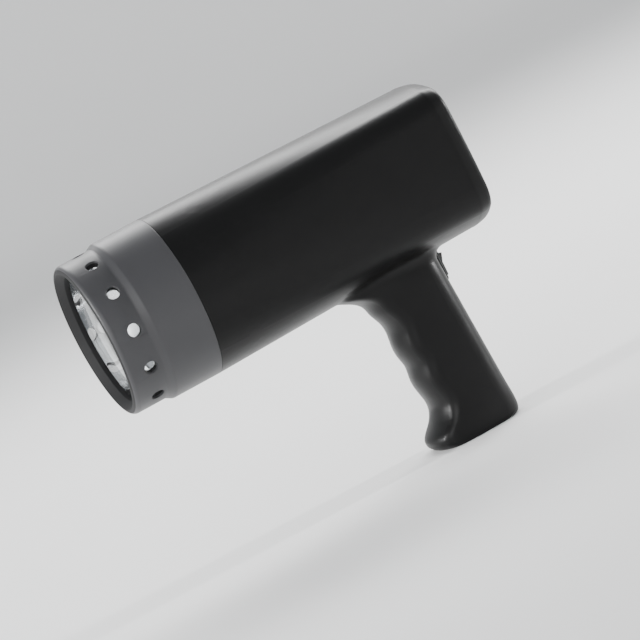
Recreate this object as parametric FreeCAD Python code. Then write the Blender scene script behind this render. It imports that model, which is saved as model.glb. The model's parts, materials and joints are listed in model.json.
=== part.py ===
"""Hand-held xenon stroboscope: a pistol-grip housing with a flash lamp in a vented front collar,
and a control panel with a display, buttons and knobs at the rear.

Millimetres. The nose points to -X and the panel to +X, +Z is up. The origin is the mouth of the
tripod socket in the middle of the flat base of the grip. The housing splits on the plane y = 0.
"""
import FreeCAD, Part
import math
import os

V = FreeCAD.Vector

# Overall form
overall_length = 211.5
nose_to_socket = 160.0
axis_height = 136.0
wall = 3.0
cut_overrun = 1.0

# Barrel: round at the mouth, a rounded shield at the rear
mouth_radius = 44.5
rear_half_width = 44.0
rear_rise = 41.0
rear_drop = 41.0
rear_top_radius = 130.0
rear_side_radius = 300.0
rear_bottom_radius = 79.0
rear_top_corner = 15.0
rear_bottom_corner = 17.0
rear_round_length = 8.0
rear_round_inset = 2.2
rear_round_steps = 4

# Grip
grip_front = 18.8
grip_back = 24.4
grip_half_width = 21.8
grip_neck_narrowing = 1.4
grip_back_radius = 45.0
grip_side_radius = 80.0
grip_front_radius = 32.0
grip_back_corner = 11.0
grip_front_corner = 9.0
grip_top_height = 104.0
grip_front_rake_share = 0.045
grip_back_rake_share = 0.048
base_edge_round = 3.2
finger_stop_reach = 8.8
finger_stop_height = 6.0
finger_stop_top = 18.0
groove_count = 3
groove_pitch = 19.0
groove_depth = 1.3
neck_flare_reach = 24.0
neck_flare_shares = ((0.31, 0.12), (0.47, 0.30), (0.61, 0.62), (1.0, 1.0))
junction_fillet = 6.0
grip_wall = 2.8
base_wall = 3.0

# Front collar, lens and lamp, measured back from the nose
collar_length = 49.8
collar_step_at = 19.3
collar_step = 2.0
collar_ramp = 3.6
collar_ramp_round = 2.4
nose_edge_round = 3.2
collar_front_wall = 3.6
hood_lip_width = 3.4
hood_depth = 4.2
lens_seat_width = 2.5
lens_seat_at = 6.5
spigot_length = 6.0
tongue_from = 2.0
tongue_width = 1.8
tongue_height = 0.8
vent_count = 12
vent_radius = 3.5
vent_at = 13.2
lens_thickness = 2.5
lens_dome = 1.0
gasket_thickness = 0.6
gasket_width = 2.0
seat_clearance = 0.3
slide_clearance = 0.15
thin_clearance = 0.05

reflector_sheet = 0.8
skirt_length = 14.4
reflector_neck_radius = 12.0
bowl_length = 28.0
neck_length = 8.0
bowl_steps = 7

holder_thickness = 2.5
holder_sleeve_wall = 1.6
holder_sleeve_length = 2.0
holder_window_count = 6
holder_window_radius = 6.5
holder_rib_width = 2.4
holder_rib_depth = 5.0
holder_pad_spread = 17.0
holder_pad_radius = 3.4

tube_radius = 2.2
tube_leg_spread = 5.0
tube_leg_length = 18.0
tube_base_radius = 11.8
tube_base_length = 6.0
tube_base_flange = 3.0
tube_seat_depth = 4.0
pin_radius = 0.6
pin_length = 10.0

# Circuit boards and what stands on them
board_thickness = 1.6
driver_board_drop = 20.0
driver_board_from = 72.0
driver_board_length = 94.0
driver_board_half_width = 34.0
rail_reach = 2.4
rail_thickness = 2.0
capacitor_count = 2
capacitor_radius = 11.0
capacitor_length = 38.0
capacitor_gap = 1.2
capacitor_from = 4.0
core_length = 38.0
core_height = 32.0
core_width = 20.0
core_leg = 8.0
core_yoke = 6.0
coil_swell = 6.0
core_from = 52.0
trigger_coil_radius = 7.0
trigger_coil_height = 16.0
trigger_coil_offset_share = 0.68
sink_length = 26.0
sink_height = 24.0
sink_width = 9.0
sink_fin = 1.6
sink_fins = 4
transistor_width = 10.2
transistor_height = 15.0
transistor_thickness = 4.4

# Rear panel, recessed in the rim of the housing
rim_width = 1.2
panel_thickness = 2.8
panel_lip = 0.6
panel_lip_inset = 0.8
panel_flange_inset = 2.4
panel_flange_thickness = 2.8
post_length = 12.0
post_radius = 2.4
post_shares = ((-0.50, 0.815), (0.50, 0.815), (-0.80, -0.14), (0.80, -0.10), (0.0, -0.82))
board_inset = 5.5

display_width = 53.6
display_height = 25.6
display_rise = 12.5
display_offset = 0.3
display_border = 1.7
display_recess = 1.0
display_thickness = 1.2
module_margin = 2.6
module_thickness = 6.0
header_width = 2.5

button_width = 8.8
button_height = 6.1
button_corner = 1.9
button_rise = 1.3
button_flange = 0.6
button_flange_thickness = 1.0
button_travel = 0.5
button_clearance = 0.2
button_column = 24.8
button_column_pitch = 12.2
button_row = 13.3
button_row_pitch = 11.0
switch_side = 6.0
switch_body = 3.6
switch_stem_radius = 1.7
button_stem_radius = 1.5

knob_radius = 6.6
knob_height = 10.0
knob_taper = 0.5
knob_round = 1.0
knob_flute_count = 18
knob_flute_radius = 0.6
knob_lift = 0.8
knob_bore_depth = 7.5
knob_row = 15.5
knob_columns = (4.0, 26.4)
shaft_radius = 3.0
bush_wall = 0.7
bush_clearance = 0.06
bush_proud = 0.4
pot_side = 11.5
pot_thickness = 6.4
shaft_end_gap = 1.0

jack_column = 13.8
jack_row = 25.2
jack_bore_radius = 1.8
jack_nose_radius = 2.5
jack_bore_depth = 13.0
jack_side = 7.6

# Rocker power switch high on the back of the grip
rocker_drop = 4.7
rocker_frame_height = 15.0
rocker_frame_width = 10.5
rocker_frame_corner = 1.2
rocker_flange = 1.6
rocker_rim = 1.2
rocker_body_wall = 0.9
rocker_body_depth = 12.0
rocker_cavity_depth = 8.0
rocker_rise = 3.2
rocker_depth = 3.0
rocker_tilt = 10.0
rocker_clearance = 0.35
rocker_swing_gap = 0.9
rocker_pin_radius = 0.9
rocker_pin_reach = 0.6
rocker_pin_clearance = 0.06
rocker_seat_inset = 0.6
rocker_boss_rise = 1.2
rocker_boss_margin = 1.8
rocker_boss_round = 1.4

# Base of the grip
bush_radius = 5.5
bush_height = 8.6
bush_collar_radius = 6.5
bush_collar_from = 3.0
bush_collar_height = 2.4
bush_thread_radius = 2.55
boss_wall = 2.4
inlet_back = 15.2
inlet_side = 9.0
inlet_height = 8.4
inlet_nose_radius = 3.7
inlet_bore_radius = 2.8
inlet_pin_radius = 1.0
inlet_bore_depth = 9.0

# Battery pack in the grip
cell_radius = 7.25
cell_height = 50.5
cell_tip_radius = 2.6
cell_tip_height = 1.0
cell_gap = 0.4
pack_floor = 15.0
pack_plate = 1.8
pack_set_back = 0.7
pack_corner = 9.6
pack_web = 0.8
shelf_reach = 3.2
shelf_height = 2.4

# Screws
screw_radius = 1.45
screw_head_radius = 2.8
screw_head_height = 2.0
screw_length = 16.0
screw_boss_radius = 3.6
shell_screw_barrel = ((70.0, 33.0), (70.0, -33.0), (184.0, 31.0), (184.0, -31.0))
shell_screw_grip = ((-7.0, 76.0), (-13.0, 8.6))
small_screw_radius = 1.1
small_screw_head_radius = 2.1
small_screw_head_height = 1.5
small_screw_length = 8.0

# Places that follow from the sizes
nose_x = -nose_to_socket
rear_x = nose_x + overall_length
mouth_x = nose_x + collar_length
nose_radius = mouth_radius - collar_step
collar_bore_radius = nose_radius - collar_front_wall
hood_mouth_radius = nose_radius - hood_lip_width
lens_seat_radius = collar_bore_radius - lens_seat_width
spigot_radius = mouth_radius - wall - seat_clearance
spigot_end = mouth_x + spigot_length
lens_back = nose_x + lens_seat_at + lens_thickness
skirt_from = lens_back + gasket_thickness
bowl_from = skirt_from + skirt_length
neck_from = bowl_from + bowl_length
neck_end = neck_from + neck_length
fit_radius = collar_bore_radius - seat_clearance
rocker_middle_height = axis_height - mouth_radius - rocker_drop
holder_from = spigot_end + slide_clearance
holder_back = holder_from + holder_thickness
panel_inset = rear_round_inset + rim_width
panel_back = rear_x - panel_lip
panel_front = panel_back - panel_thickness
flange_front = panel_front - panel_flange_thickness
control_front = panel_front - post_length
driver_top = axis_height - driver_board_drop
driver_x = nose_x + driver_board_from


def cyl_x(radius, x, length, y=0, z=axis_height):
    return Part.makeCylinder(radius, length, V(x, y, z), V(1, 0, 0))


def cyl_y(radius, y, length, x, z):
    return Part.makeCylinder(radius, length, V(x, y, z), V(0, 1, 0))


def cyl_z(radius, z, length, x, y):
    return Part.makeCylinder(radius, length, V(x, y, z), V(0, 0, 1))


def block(x0, x1, y0, y1, z0, z1):
    return Part.makeBox(x1 - x0, y1 - y0, z1 - z0, V(x0, y0, z0))


def fuse_all(shapes):
    shapes = list(shapes)
    return shapes[0].multiFuse(shapes[1:]).removeSplitter() if len(shapes) > 1 else shapes[0]


def cut_all(shape, tools):
    return shape.cut(Part.makeCompound(list(tools)))


def rounded_block(width, height, corner, x0, x1, y, z):
    """A prism along X with a rounded rectangular section."""
    solid = block(x0, x1, y - width / 2, y + width / 2, z - height / 2, z + height / 2)
    edges = [e for e in solid.Edges if abs(e.tangentAt(e.FirstParameter).x) > 0.5]
    return solid.makeFillet(corner, edges)


def revolve(points, axis_z=axis_height):
    """Turns a closed profile of (x, radius) points about the barrel's axis."""
    corners = [V(x, 0, axis_z + r) for x, r in points]
    face = Part.Face(Part.makePolygon(corners + corners[:1]))
    return face.revolve(V(0, 0, axis_z), V(1, 0, 0), 360)


def edges_near(shape, test):
    return [e for e in shape.Edges if test(e.valueAt((e.FirstParameter + e.LastParameter) / 2))]


def blend_arc(centre_1, radius_1, centre_2, radius_2, radius, side, end):
    """Both tangent points and the middle of the small arc that joins two large arcs."""
    reach_1, reach_2 = radius_1 - radius, radius_2 - radius
    dx, dy = centre_2[0] - centre_1[0], centre_2[1] - centre_1[1]
    gap = math.hypot(dx, dy)
    along = (reach_1 ** 2 - reach_2 ** 2 + gap ** 2) / (2 * gap)
    off = math.sqrt(reach_1 ** 2 - along ** 2)
    foot = (centre_1[0] + along * dx / gap, centre_1[1] + along * dy / gap)
    both = [(foot[0] + s * off * dy / gap, foot[1] - s * off * dx / gap) for s in (1, -1)]
    centre = max(both, key=lambda p: p[0] * side + p[1] * end)

    def tangent(large, size):
        span = math.hypot(centre[0] - large[0], centre[1] - large[1])
        return tuple(large[i] + (centre[i] - large[i]) * size / span for i in (0, 1))

    first, last = tangent(centre_1, radius_1), tangent(centre_2, radius_2)
    lean = [(first[i] + last[i]) / 2 - centre[i] for i in (0, 1)]
    middle = tuple(centre[i] + lean[i] * radius / math.hypot(*lean) for i in (0, 1))
    return first, middle, last


def shield(half_width, rise, drop, top_r, side_r, bottom_r, top_corner, bottom_corner):
    """Sixteen points of a closed outline of eight arcs, symmetrical left to right."""
    side = (half_width - side_r, 0)
    a, b, c = blend_arc((0, rise - top_r), top_r, side, side_r, top_corner, 1, 1)
    f, e, d = blend_arc((0, bottom_r - drop), bottom_r, side, side_r, bottom_corner, 1, -1)
    left = [(-p[0], p[1]) for p in (f, e, d, (half_width, 0), c, b)]
    return [(-a[0], a[1]), (0, rise), a, b, c, (half_width, 0), d, e, f, (0, -drop)] + left


def arc_wire(points, place):
    corners = [place(*p) for p in points]
    count = len(corners)
    return Part.Wire([Part.Arc(corners[i], corners[i + 1], corners[(i + 2) % count]).toShape()
                      for i in range(0, count, 2)])


def rear_points(inset):
    return shield(rear_half_width - inset, rear_rise - inset, rear_drop - inset,
                  rear_top_radius - inset, rear_side_radius - inset, rear_bottom_radius - inset,
                  rear_top_corner - inset, rear_bottom_corner - inset)


def round_points(radius):
    """The rear outline's points, each pushed in or out to one circle."""
    return [(y * radius / math.hypot(y, z), z * radius / math.hypot(y, z))
            for y, z in rear_points(0)]


def across(x):
    return lambda y, z: V(x, y, axis_height + z)


def barrel_body(inset, x_from, x_to):
    front = arc_wire(round_points(mouth_radius - inset), across(x_from))
    back = arc_wire(rear_points(inset), across(x_to))
    return Part.makeLoft([front, back], True, True)


def shield_slab(inset, x_from, x_to):
    return Part.makeLoft([arc_wire(rear_points(inset), across(x)) for x in (x_from, x_to)], True, True)


def rounded_end():
    """The last stretch of the barrel, drawn in on a quarter of an ellipse."""
    sections = []
    for step in range(rear_round_steps + 1):
        angle = step * math.pi / 2 / rear_round_steps
        inset = rear_round_inset * (1 - math.cos(angle))
        x = rear_x - rear_round_length * (1 - math.sin(angle))
        sections.append(arc_wire(rear_points(inset), across(x)))
    return Part.makeLoft(sections, True, False)


def grip_front_at(z):
    return -grip_front - grip_front_rake_share * (z - finger_stop_top)


def grip_back_at(z):
    return grip_back - grip_back_rake_share * z


def grip_half_width_at(z):
    return grip_half_width - grip_neck_narrowing * min(1, z / grip_top_height)


def grip_section(z, front, back, half_width, inset):
    middle, depth = (front + back) / 2, (back - front) / 2 - inset
    points = shield(half_width - inset, depth, depth, grip_back_radius - inset,
                    grip_side_radius - inset, grip_front_radius - inset,
                    grip_back_corner - inset, grip_front_corner - inset)
    return arc_wire(points, lambda y, along: V(middle + along, y, z))


def grip_rows():
    """Height, front, back and half width of each section of the grip, from the base up."""
    tip = -grip_front - finger_stop_reach
    tuck = base_edge_round
    rows = [(0, tip + tuck * 1.6, grip_back - tuck * 1.3, grip_half_width - tuck * 0.7),
            (tuck * 0.6, tip + tuck * 0.5, grip_back_at(tuck) - tuck * 0.3,
             grip_half_width - tuck * 0.1),
            (finger_stop_height, tip, grip_back_at(finger_stop_height), grip_half_width),
            ((finger_stop_height + finger_stop_top) / 2, tip + finger_stop_reach / 2,
             grip_back_at(finger_stop_top / 2), grip_half_width_at(finger_stop_height))]
    for step in range(groove_count * 2 + 1):
        z = finger_stop_top + step * groove_pitch / 2
        dent = groove_depth if step % 2 else 0
        rows.append((z, grip_front_at(z) + dent, grip_back_at(z), grip_half_width_at(z)))
    flare_from = rows[-1][0]
    for rise_share, lean_share in neck_flare_shares:
        z = flare_from + (grip_top_height - flare_from) * rise_share
        front = grip_front_at(z) - neck_flare_reach * lean_share
        rows.append((z, front, grip_back_at(z), grip_half_width_at(z)))
    return rows


def grip_body():
    return Part.makeLoft([grip_section(*row, 0) for row in grip_rows()], True, False)


def grip_cavity():
    heights = (base_wall, finger_stop_top, axis_height - mouth_radius, grip_top_height)
    wires = [grip_section(z, grip_front_at(z) + groove_depth, grip_back_at(z),
                          grip_half_width_at(z), grip_wall) for z in heights]
    return Part.makeLoft(wires, True, True)


def outer_body():
    """Barrel and grip in one, with a fillet all round where they meet."""
    barrel = barrel_body(0, mouth_x, rear_x - rear_round_length).fuse(rounded_end())
    barrel = barrel.removeSplitter()
    grip = grip_body()
    seam = barrel.section(grip)
    body = barrel.fuse(grip)
    joint = edges_near(body, lambda p: seam.distToShape(Part.Vertex(p))[0] < thin_clearance)
    return body.makeFillet(junction_fillet, joint)


def screw_places():
    places = [(nose_x + x, axis_height + z) for x, z in shell_screw_barrel]
    return places + [(x, z) for x, z in shell_screw_grip]


def board_rails():
    """Two ribs a side that hold the edges of the driver board."""
    rails = []
    for side in (-1, 1):
        inner = side * (driver_board_half_width - rail_reach)
        outer = side * mouth_radius
        y0, y1 = min(inner, outer), max(inner, outer)
        for z in (driver_top + seat_clearance / 2,
                  driver_top - board_thickness - seat_clearance / 2 - rail_thickness):
            rails.append(block(driver_x, driver_x + driver_board_length, y0, y1, z, z + rail_thickness))
    return rails


def pack_half():
    return 2 * cell_radius + cell_gap / 2 + pack_web


def pack_middle():
    z = pack_floor + cell_height / 2
    return (grip_front_at(z) + grip_back_at(z)) / 2 + pack_set_back


def pack_shelves():
    """Ledges in the grip that the battery pack stands on."""
    half, top = grip_half_width + wall, pack_floor - seat_clearance
    reach = pack_half() - shelf_reach
    return [block(-grip_front, grip_back - wall, *sorted((side * reach, side * half)),
                  top - shelf_height, top) for side in (-1, 1)]


def rocker_boss_x():
    return grip_back_at(rocker_middle_height) + rocker_boss_rise


def rocker_seat_x():
    return rocker_boss_x() - rocker_seat_inset


def rocker_boss():
    """A low pad round the power switch that runs up into the neck of the grip."""
    x = rocker_boss_x()
    half_y = rocker_frame_width / 2 + rocker_boss_margin
    bottom = rocker_middle_height - rocker_frame_height / 2 - rocker_boss_margin
    top = axis_height - rear_drop + wall / 2
    pad = block(x - wall, x, -half_y, half_y, bottom, top)
    edges = edges_near(pad, lambda p: abs(p.x - x) < thin_clearance and p.z < top - thin_clearance)
    return pad.makeFillet(rocker_boss_round - thin_clearance, edges)


def housing():
    """The whole moulded housing before it is split."""
    outer = outer_body()
    hollow = [barrel_body(wall, mouth_x - cut_overrun, flange_front),
              shield_slab(panel_inset + panel_flange_inset, flange_front - cut_overrun,
                          panel_front + cut_overrun),
              shield_slab(panel_inset - slide_clearance, panel_front, panel_back),
              shield_slab(panel_inset + panel_lip_inset, panel_back - cut_overrun,
                          rear_x + cut_overrun),
              grip_cavity()]
    shell = cut_all(outer, hollow)
    ring = cyl_x(mouth_radius - wall / 2, holder_back + slide_clearance, holder_rib_width)
    ring = ring.cut(cyl_x(mouth_radius - wall - holder_rib_depth, mouth_x, collar_length))
    inner = board_rails() + pack_shelves() + [ring]
    places = screw_places()
    inner += [cyl_y(screw_boss_radius, -mouth_radius, 2 * mouth_radius, x, z) for x, z in places]
    inner.append(cyl_z(bush_collar_radius + boss_wall, 0, bush_height, 0, 0))
    inner = [piece.common(outer) for piece in inner]
    shell = shell.multiFuse(inner + [rocker_boss()])
    groove = cyl_x(spigot_radius + tongue_height + slide_clearance,
                   mouth_x + tongue_from - slide_clearance, tongue_width + 2 * slide_clearance)
    cuts = [groove, inlet_hole(), bush_hole(), rocker_hole()]
    cuts += [screw_well(x, z) for x, z in places]
    return cut_all(shell, cuts)


def screw_well(x, z):
    """A stepped hole from the right side: a deep well for the head, then the shank's hole."""
    seat = screw_length / 2
    hole = cyl_y(screw_radius + thin_clearance, -seat, 2 * seat, x, z)
    well = cyl_y(screw_head_radius + seat_clearance, seat, mouth_radius, x, z)
    return hole.fuse(well)


def shell_screws():
    screws = []
    seat = screw_length / 2
    for x, z in screw_places():
        shank = cyl_y(screw_radius, seat_clearance - seat, screw_length - seat_clearance, x, z)
        head = cyl_y(screw_head_radius, seat, screw_head_height, x, z)
        screws.append(shank.fuse(head))
    return Part.makeCompound(screws)


def bush_hole():
    gap = thin_clearance
    hole = cyl_z(bush_radius + gap, -cut_overrun, bush_height + 2 * cut_overrun, 0, 0)
    collar = cyl_z(bush_collar_radius + gap, bush_collar_from - gap,
                   bush_collar_height + 2 * gap, 0, 0)
    return hole.fuse(collar)


def tripod_bush():
    body = cyl_z(bush_radius, 0, bush_height, 0, 0)
    body = body.fuse(cyl_z(bush_collar_radius, bush_collar_from, bush_collar_height, 0, 0))
    return body.cut(cyl_z(bush_thread_radius, -cut_overrun, bush_height + 2 * cut_overrun, 0, 0))


def inlet_hole():
    return cyl_z(inlet_nose_radius + thin_clearance, -cut_overrun, base_wall + 2 * cut_overrun,
                 inlet_back, 0)


def charging_inlet():
    half = inlet_side / 2
    body = block(inlet_back - half, inlet_back + half, -half, half, base_wall, base_wall + inlet_height)
    body = body.fuse(cyl_z(inlet_nose_radius, seat_clearance, base_wall, inlet_back, 0))
    bore = cyl_z(inlet_bore_radius, 0, inlet_bore_depth, inlet_back, 0)
    pin = cyl_z(inlet_pin_radius, inlet_pin_radius, inlet_bore_depth, inlet_back, 0)
    return body.cut(bore).fuse(pin)


def rocker_hole():
    """The flat seat and the slot for the power switch."""
    x = rocker_seat_x()
    z = rocker_middle_height
    seat = block(x, x + wall + junction_fillet, -rocker_frame_width / 2 - seat_clearance,
                 rocker_frame_width / 2 + seat_clearance,
                 z - rocker_frame_height / 2 - seat_clearance,
                 z + rocker_frame_height / 2 + seat_clearance)
    half_y = rocker_frame_width / 2 - rocker_rim + slide_clearance
    half_z = rocker_frame_height / 2 - rocker_rim + slide_clearance
    slot = block(x - rocker_body_depth - cut_overrun, x + cut_overrun, -half_y, half_y,
                 z - half_z, z + half_z)
    return seat.fuse(slot)


def rocker_frame():
    x, z = rocker_seat_x(), rocker_middle_height
    flange = rounded_block(rocker_frame_width, rocker_frame_height, rocker_frame_corner,
                           x, x + rocker_flange, 0, z)
    half_y = rocker_frame_width / 2 - rocker_rim
    half_z = rocker_frame_height / 2 - rocker_rim
    body = block(x - rocker_body_depth, x, -half_y, half_y, z - half_z, z + half_z)
    inner_y, inner_z = half_y - rocker_body_wall, half_z - rocker_body_wall / 2
    room = block(x - rocker_cavity_depth, x + rocker_flange + cut_overrun,
                 -inner_y, inner_y, z - inner_z, z + inner_z)
    pins = cyl_y(rocker_pin_radius + rocker_pin_clearance, -half_y, 2 * half_y, x, z)
    return flange.fuse(body).cut(room).cut(pins)


def power_rocker():
    """A rocker with two faces that meet in a shallow V, shown pressed at its lower end."""
    x, z = rocker_seat_x(), rocker_middle_height
    inner_y = rocker_frame_width / 2 - rocker_rim - rocker_body_wall
    half = rocker_frame_height / 2 - rocker_rim - rocker_body_wall / 2 - rocker_swing_gap
    dip = half * math.tan(math.radians(rocker_tilt))
    outline = [(-rocker_depth, -half), (rocker_rise, -half), (rocker_rise - dip, 0),
               (rocker_rise, half), (-rocker_depth, half)]
    width = 2 * (inner_y - rocker_clearance)
    corners = [V(x + out, -width / 2, z + up) for out, up in outline]
    solid = Part.Face(Part.makePolygon(corners + corners[:1])).extrude(V(0, width, 0))
    pin = cyl_y(rocker_pin_radius, -width / 2 - rocker_pin_reach - rocker_clearance,
                width + 2 * (rocker_pin_reach + rocker_clearance), x, z)
    solid = solid.fuse(pin)
    solid.rotate(V(x, 0, z), V(0, 1, 0), rocker_tilt)
    return solid


def front_collar():
    x = nose_x
    step = x + collar_step_at
    tongue = mouth_x + tongue_from
    profile = [(x, hood_mouth_radius), (x + hood_depth, lens_seat_radius),
               (x + lens_seat_at, lens_seat_radius), (x + lens_seat_at, collar_bore_radius),
               (spigot_end, collar_bore_radius), (spigot_end, spigot_radius),
               (tongue + tongue_width, spigot_radius),
               (tongue + tongue_width, spigot_radius + tongue_height),
               (tongue, spigot_radius + tongue_height), (tongue, spigot_radius),
               (mouth_x, spigot_radius), (mouth_x, mouth_radius),
               (step + collar_ramp, mouth_radius), (step, nose_radius), (x, nose_radius)]
    collar = revolve(profile)
    rim = edges_near(collar, lambda p: abs(p.x - x) < thin_clearance
                     and abs(math.hypot(p.y, p.z - axis_height) - nose_radius) < thin_clearance)
    collar = collar.makeFillet(nose_edge_round, rim)
    ramp = edges_near(collar, lambda p: any(
        abs(p.x - x_1) + abs(math.hypot(p.y, p.z - axis_height) - radius) < thin_clearance
        for x_1, radius in ((step, nose_radius), (step + collar_ramp, mouth_radius))))
    collar = collar.makeFillet(collar_ramp_round, ramp)
    return cut_all(collar, vents())


def vents():
    """A ring of round holes through the collar and the reflector's skirt."""
    tools = []
    for index in range(vent_count // 2):
        angle = math.pi * index / (vent_count // 2)
        along = V(0, math.cos(angle), math.sin(angle))
        middle = V(nose_x + vent_at, 0, axis_height)
        tools.append(Part.makeCylinder(vent_radius, 2 * mouth_radius, middle - along * mouth_radius, along))
    return tools


def lens_window():
    face = nose_x + lens_seat_at
    pane = cyl_x(fit_radius, face, lens_thickness)
    aperture = lens_seat_radius - seat_clearance
    sphere_radius = (aperture ** 2 + lens_dome ** 2) / (2 * lens_dome)
    ball = Part.makeSphere(sphere_radius, V(face - lens_dome + sphere_radius, 0, axis_height))
    dome = ball.common(cyl_x(aperture, face - 2 * lens_dome, 2 * lens_dome + lens_thickness / 2))
    return pane.fuse(dome).removeSplitter()


def lens_gasket():
    ring = cyl_x(fit_radius, lens_back, gasket_thickness)
    return ring.cut(cyl_x(fit_radius - gasket_width, lens_back, gasket_thickness))


def bowl_radius(x):
    """Parabola that meets the skirt at the front and the neck at the back."""
    front, back = (fit_radius - reflector_sheet) ** 2, reflector_neck_radius ** 2
    share = (x - bowl_from) / bowl_length
    return math.sqrt(front + (back - front) * share)


def bowl_edge(extra):
    points = []
    for step in range(bowl_steps + 1):
        x = bowl_from + bowl_length * (1 - (1 - step / bowl_steps) ** 2)
        points.append(V(x, 0, axis_height + bowl_radius(x) + extra))
    curve = Part.BSplineCurve()
    curve.interpolate(points)
    return curve.toShape()


def reflector():
    """Bright sheet reflector: a perforated skirt, a parabolic bowl and a short neck."""
    inner, outer = bowl_edge(0), bowl_edge(reflector_sheet)
    first = [V(skirt_from, 0, axis_height + fit_radius - reflector_sheet), inner.Vertexes[0].Point]
    back = [inner.Vertexes[-1].Point, V(neck_end, 0, axis_height + reflector_neck_radius),
            V(neck_end, 0, axis_height + reflector_neck_radius + reflector_sheet),
            outer.Vertexes[-1].Point]
    front = [outer.Vertexes[0].Point, V(skirt_from, 0, axis_height + fit_radius), first[0]]
    edges = [Part.makePolygon(first), inner, Part.makePolygon(back), outer, Part.makePolygon(front)]
    parts = [e for piece in edges for e in piece.Edges]
    face = Part.Face(Part.Wire(Part.__sortEdges__(parts)))
    bowl = face.revolve(V(0, 0, axis_height), V(1, 0, 0), 360)
    return cut_all(bowl, vents())


def reflector_holder():
    """A vented disc behind the collar that carries the reflector's neck and the lamp."""
    outer = mouth_radius - wall - seat_clearance
    neck = reflector_neck_radius + reflector_sheet
    disc = cyl_x(outer, holder_from, holder_thickness)
    sleeve = cyl_x(neck + holder_sleeve_wall, holder_from - holder_sleeve_length,
                   holder_thickness + holder_sleeve_length)
    sleeve = sleeve.cut(cyl_x(neck + holder_sleeve_wall, bowl_from, neck_from - bowl_from))
    pads = [cyl_x(holder_pad_radius, holder_from, neck_end - holder_from, side * holder_pad_spread)
            for side in (-1, 1)]
    body = fuse_all([disc, sleeve] + pads)
    spread = (neck + holder_sleeve_wall + outer) / 2
    tools = [cyl_x(neck + thin_clearance, bowl_from, 2 * bowl_length)]
    for index in range(holder_window_count):
        angle = 2 * math.pi * (index + 0.5) / holder_window_count
        tools.append(cyl_x(holder_window_radius, holder_from - cut_overrun,
                           holder_thickness + 2 * cut_overrun, spread * math.sin(angle),
                           axis_height + spread * math.cos(angle)))
    tools += [cyl_x(small_screw_radius + thin_clearance, holder_from - cut_overrun, bowl_length,
                    side * holder_pad_spread) for side in (-1, 1)]
    return cut_all(body, tools)


def tube_ends():
    return neck_end - tube_leg_length - tube_leg_spread, neck_end


def flash_tube():
    """A U-shaped glass tube with its bend in the focus of the reflector."""
    bend_x = neck_end - tube_leg_length
    legs = [cyl_x(tube_radius, bend_x, tube_leg_length, side * tube_leg_spread) for side in (-1, 1)]
    ring = Part.makeTorus(tube_leg_spread, tube_radius, V(bend_x, 0, axis_height), V(0, 0, 1))
    reach = tube_leg_spread + 2 * tube_radius
    half = block(bend_x - reach, bend_x, -reach, reach, axis_height - reach, axis_height + reach)
    return fuse_all(legs + [ring.common(half)])


def tube_base():
    """Ceramic lamp base: a plug in the reflector's neck and a flange screwed to the holder."""
    front = neck_end - tube_seat_depth
    plug = cyl_x(tube_base_radius, front, tube_seat_depth + tube_base_flange)
    flange = cyl_x(holder_pad_spread + holder_pad_radius, neck_end, tube_base_flange)
    rear = cyl_x(tube_base_radius, neck_end, tube_base_length)
    body = fuse_all([plug, flange, rear])
    tools = []
    for side in (-1, 1):
        y = side * tube_leg_spread
        tools.append(cyl_x(tube_radius + thin_clearance, front - cut_overrun,
                           tube_seat_depth + cut_overrun, y))
        tools.append(cyl_x(pin_radius + thin_clearance, front, tube_seat_depth + bowl_length, y))
        tools.append(cyl_x(small_screw_radius + thin_clearance, front, bowl_length,
                           side * holder_pad_spread))
    return cut_all(body, tools)


def tube_pins():
    return Part.makeCompound([cyl_x(pin_radius, neck_end, pin_length, side * tube_leg_spread)
                              for side in (-1, 1)])


def lamp_screws():
    screws = []
    for side in (-1, 1):
        y = side * holder_pad_spread
        seat = neck_end + tube_base_flange
        shank = cyl_x(small_screw_radius, seat - small_screw_length, small_screw_length, y)
        screws.append(shank.fuse(cyl_x(small_screw_head_radius, seat, small_screw_head_height, y)))
    return Part.makeCompound(screws)


def driver_board():
    half = driver_board_half_width
    return block(driver_x, driver_x + driver_board_length, -half, half,
                 driver_top - board_thickness, driver_top)


def capacitor_places():
    pitch = 2 * capacitor_radius + capacitor_gap
    start = -pitch * (capacitor_count - 1) / 2
    return [start + pitch * index for index in range(capacitor_count)]


def storage_capacitors():
    x = driver_x + capacitor_from
    return Part.makeCompound([cyl_x(capacitor_radius, x, capacitor_length, y,
                                    driver_top + capacitor_radius) for y in capacitor_places()])


def transformer_core():
    """A laminated core of three legs, open between them for the coil."""
    x = driver_x + core_from
    z = driver_top + coil_swell / 2
    core = block(x, x + core_length, -core_width / 2, core_width / 2, z, z + core_height)
    window = (core_length - 3 * core_leg) / 2
    tools = []
    for index in range(2):
        left = x + core_leg + index * (window + core_leg)
        tools.append(block(left, left + window, -core_width, core_width,
                           z + core_yoke, z + core_height - core_yoke))
    feet = [block(x, x + core_leg, -core_width / 2, core_width / 2, driver_top, z),
            block(x + core_length - core_leg, x + core_length, -core_width / 2, core_width / 2,
                  driver_top, z)]
    return fuse_all([cut_all(core, tools)] + feet)


def transformer_coil():
    x = driver_x + core_from + core_length / 2
    z = driver_top + coil_swell / 2 + core_height / 2
    half_x = core_length / 2 - core_leg - thin_clearance
    half_z = core_height / 2 - core_yoke - thin_clearance
    half_y = core_width / 2 + coil_swell
    coil = block(x - half_x, x + half_x, -half_y, half_y, z - half_z, z + half_z)
    edges = edges_near(coil, lambda p: abs(p.z - z) < thin_clearance)
    coil = coil.makeFillet(half_x / 3, edges)
    leg = core_leg / 2 + thin_clearance
    wide = core_width / 2 + thin_clearance
    return coil.cut(block(x - leg, x + leg, -wide, wide, z - core_height, z + core_height))


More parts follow.
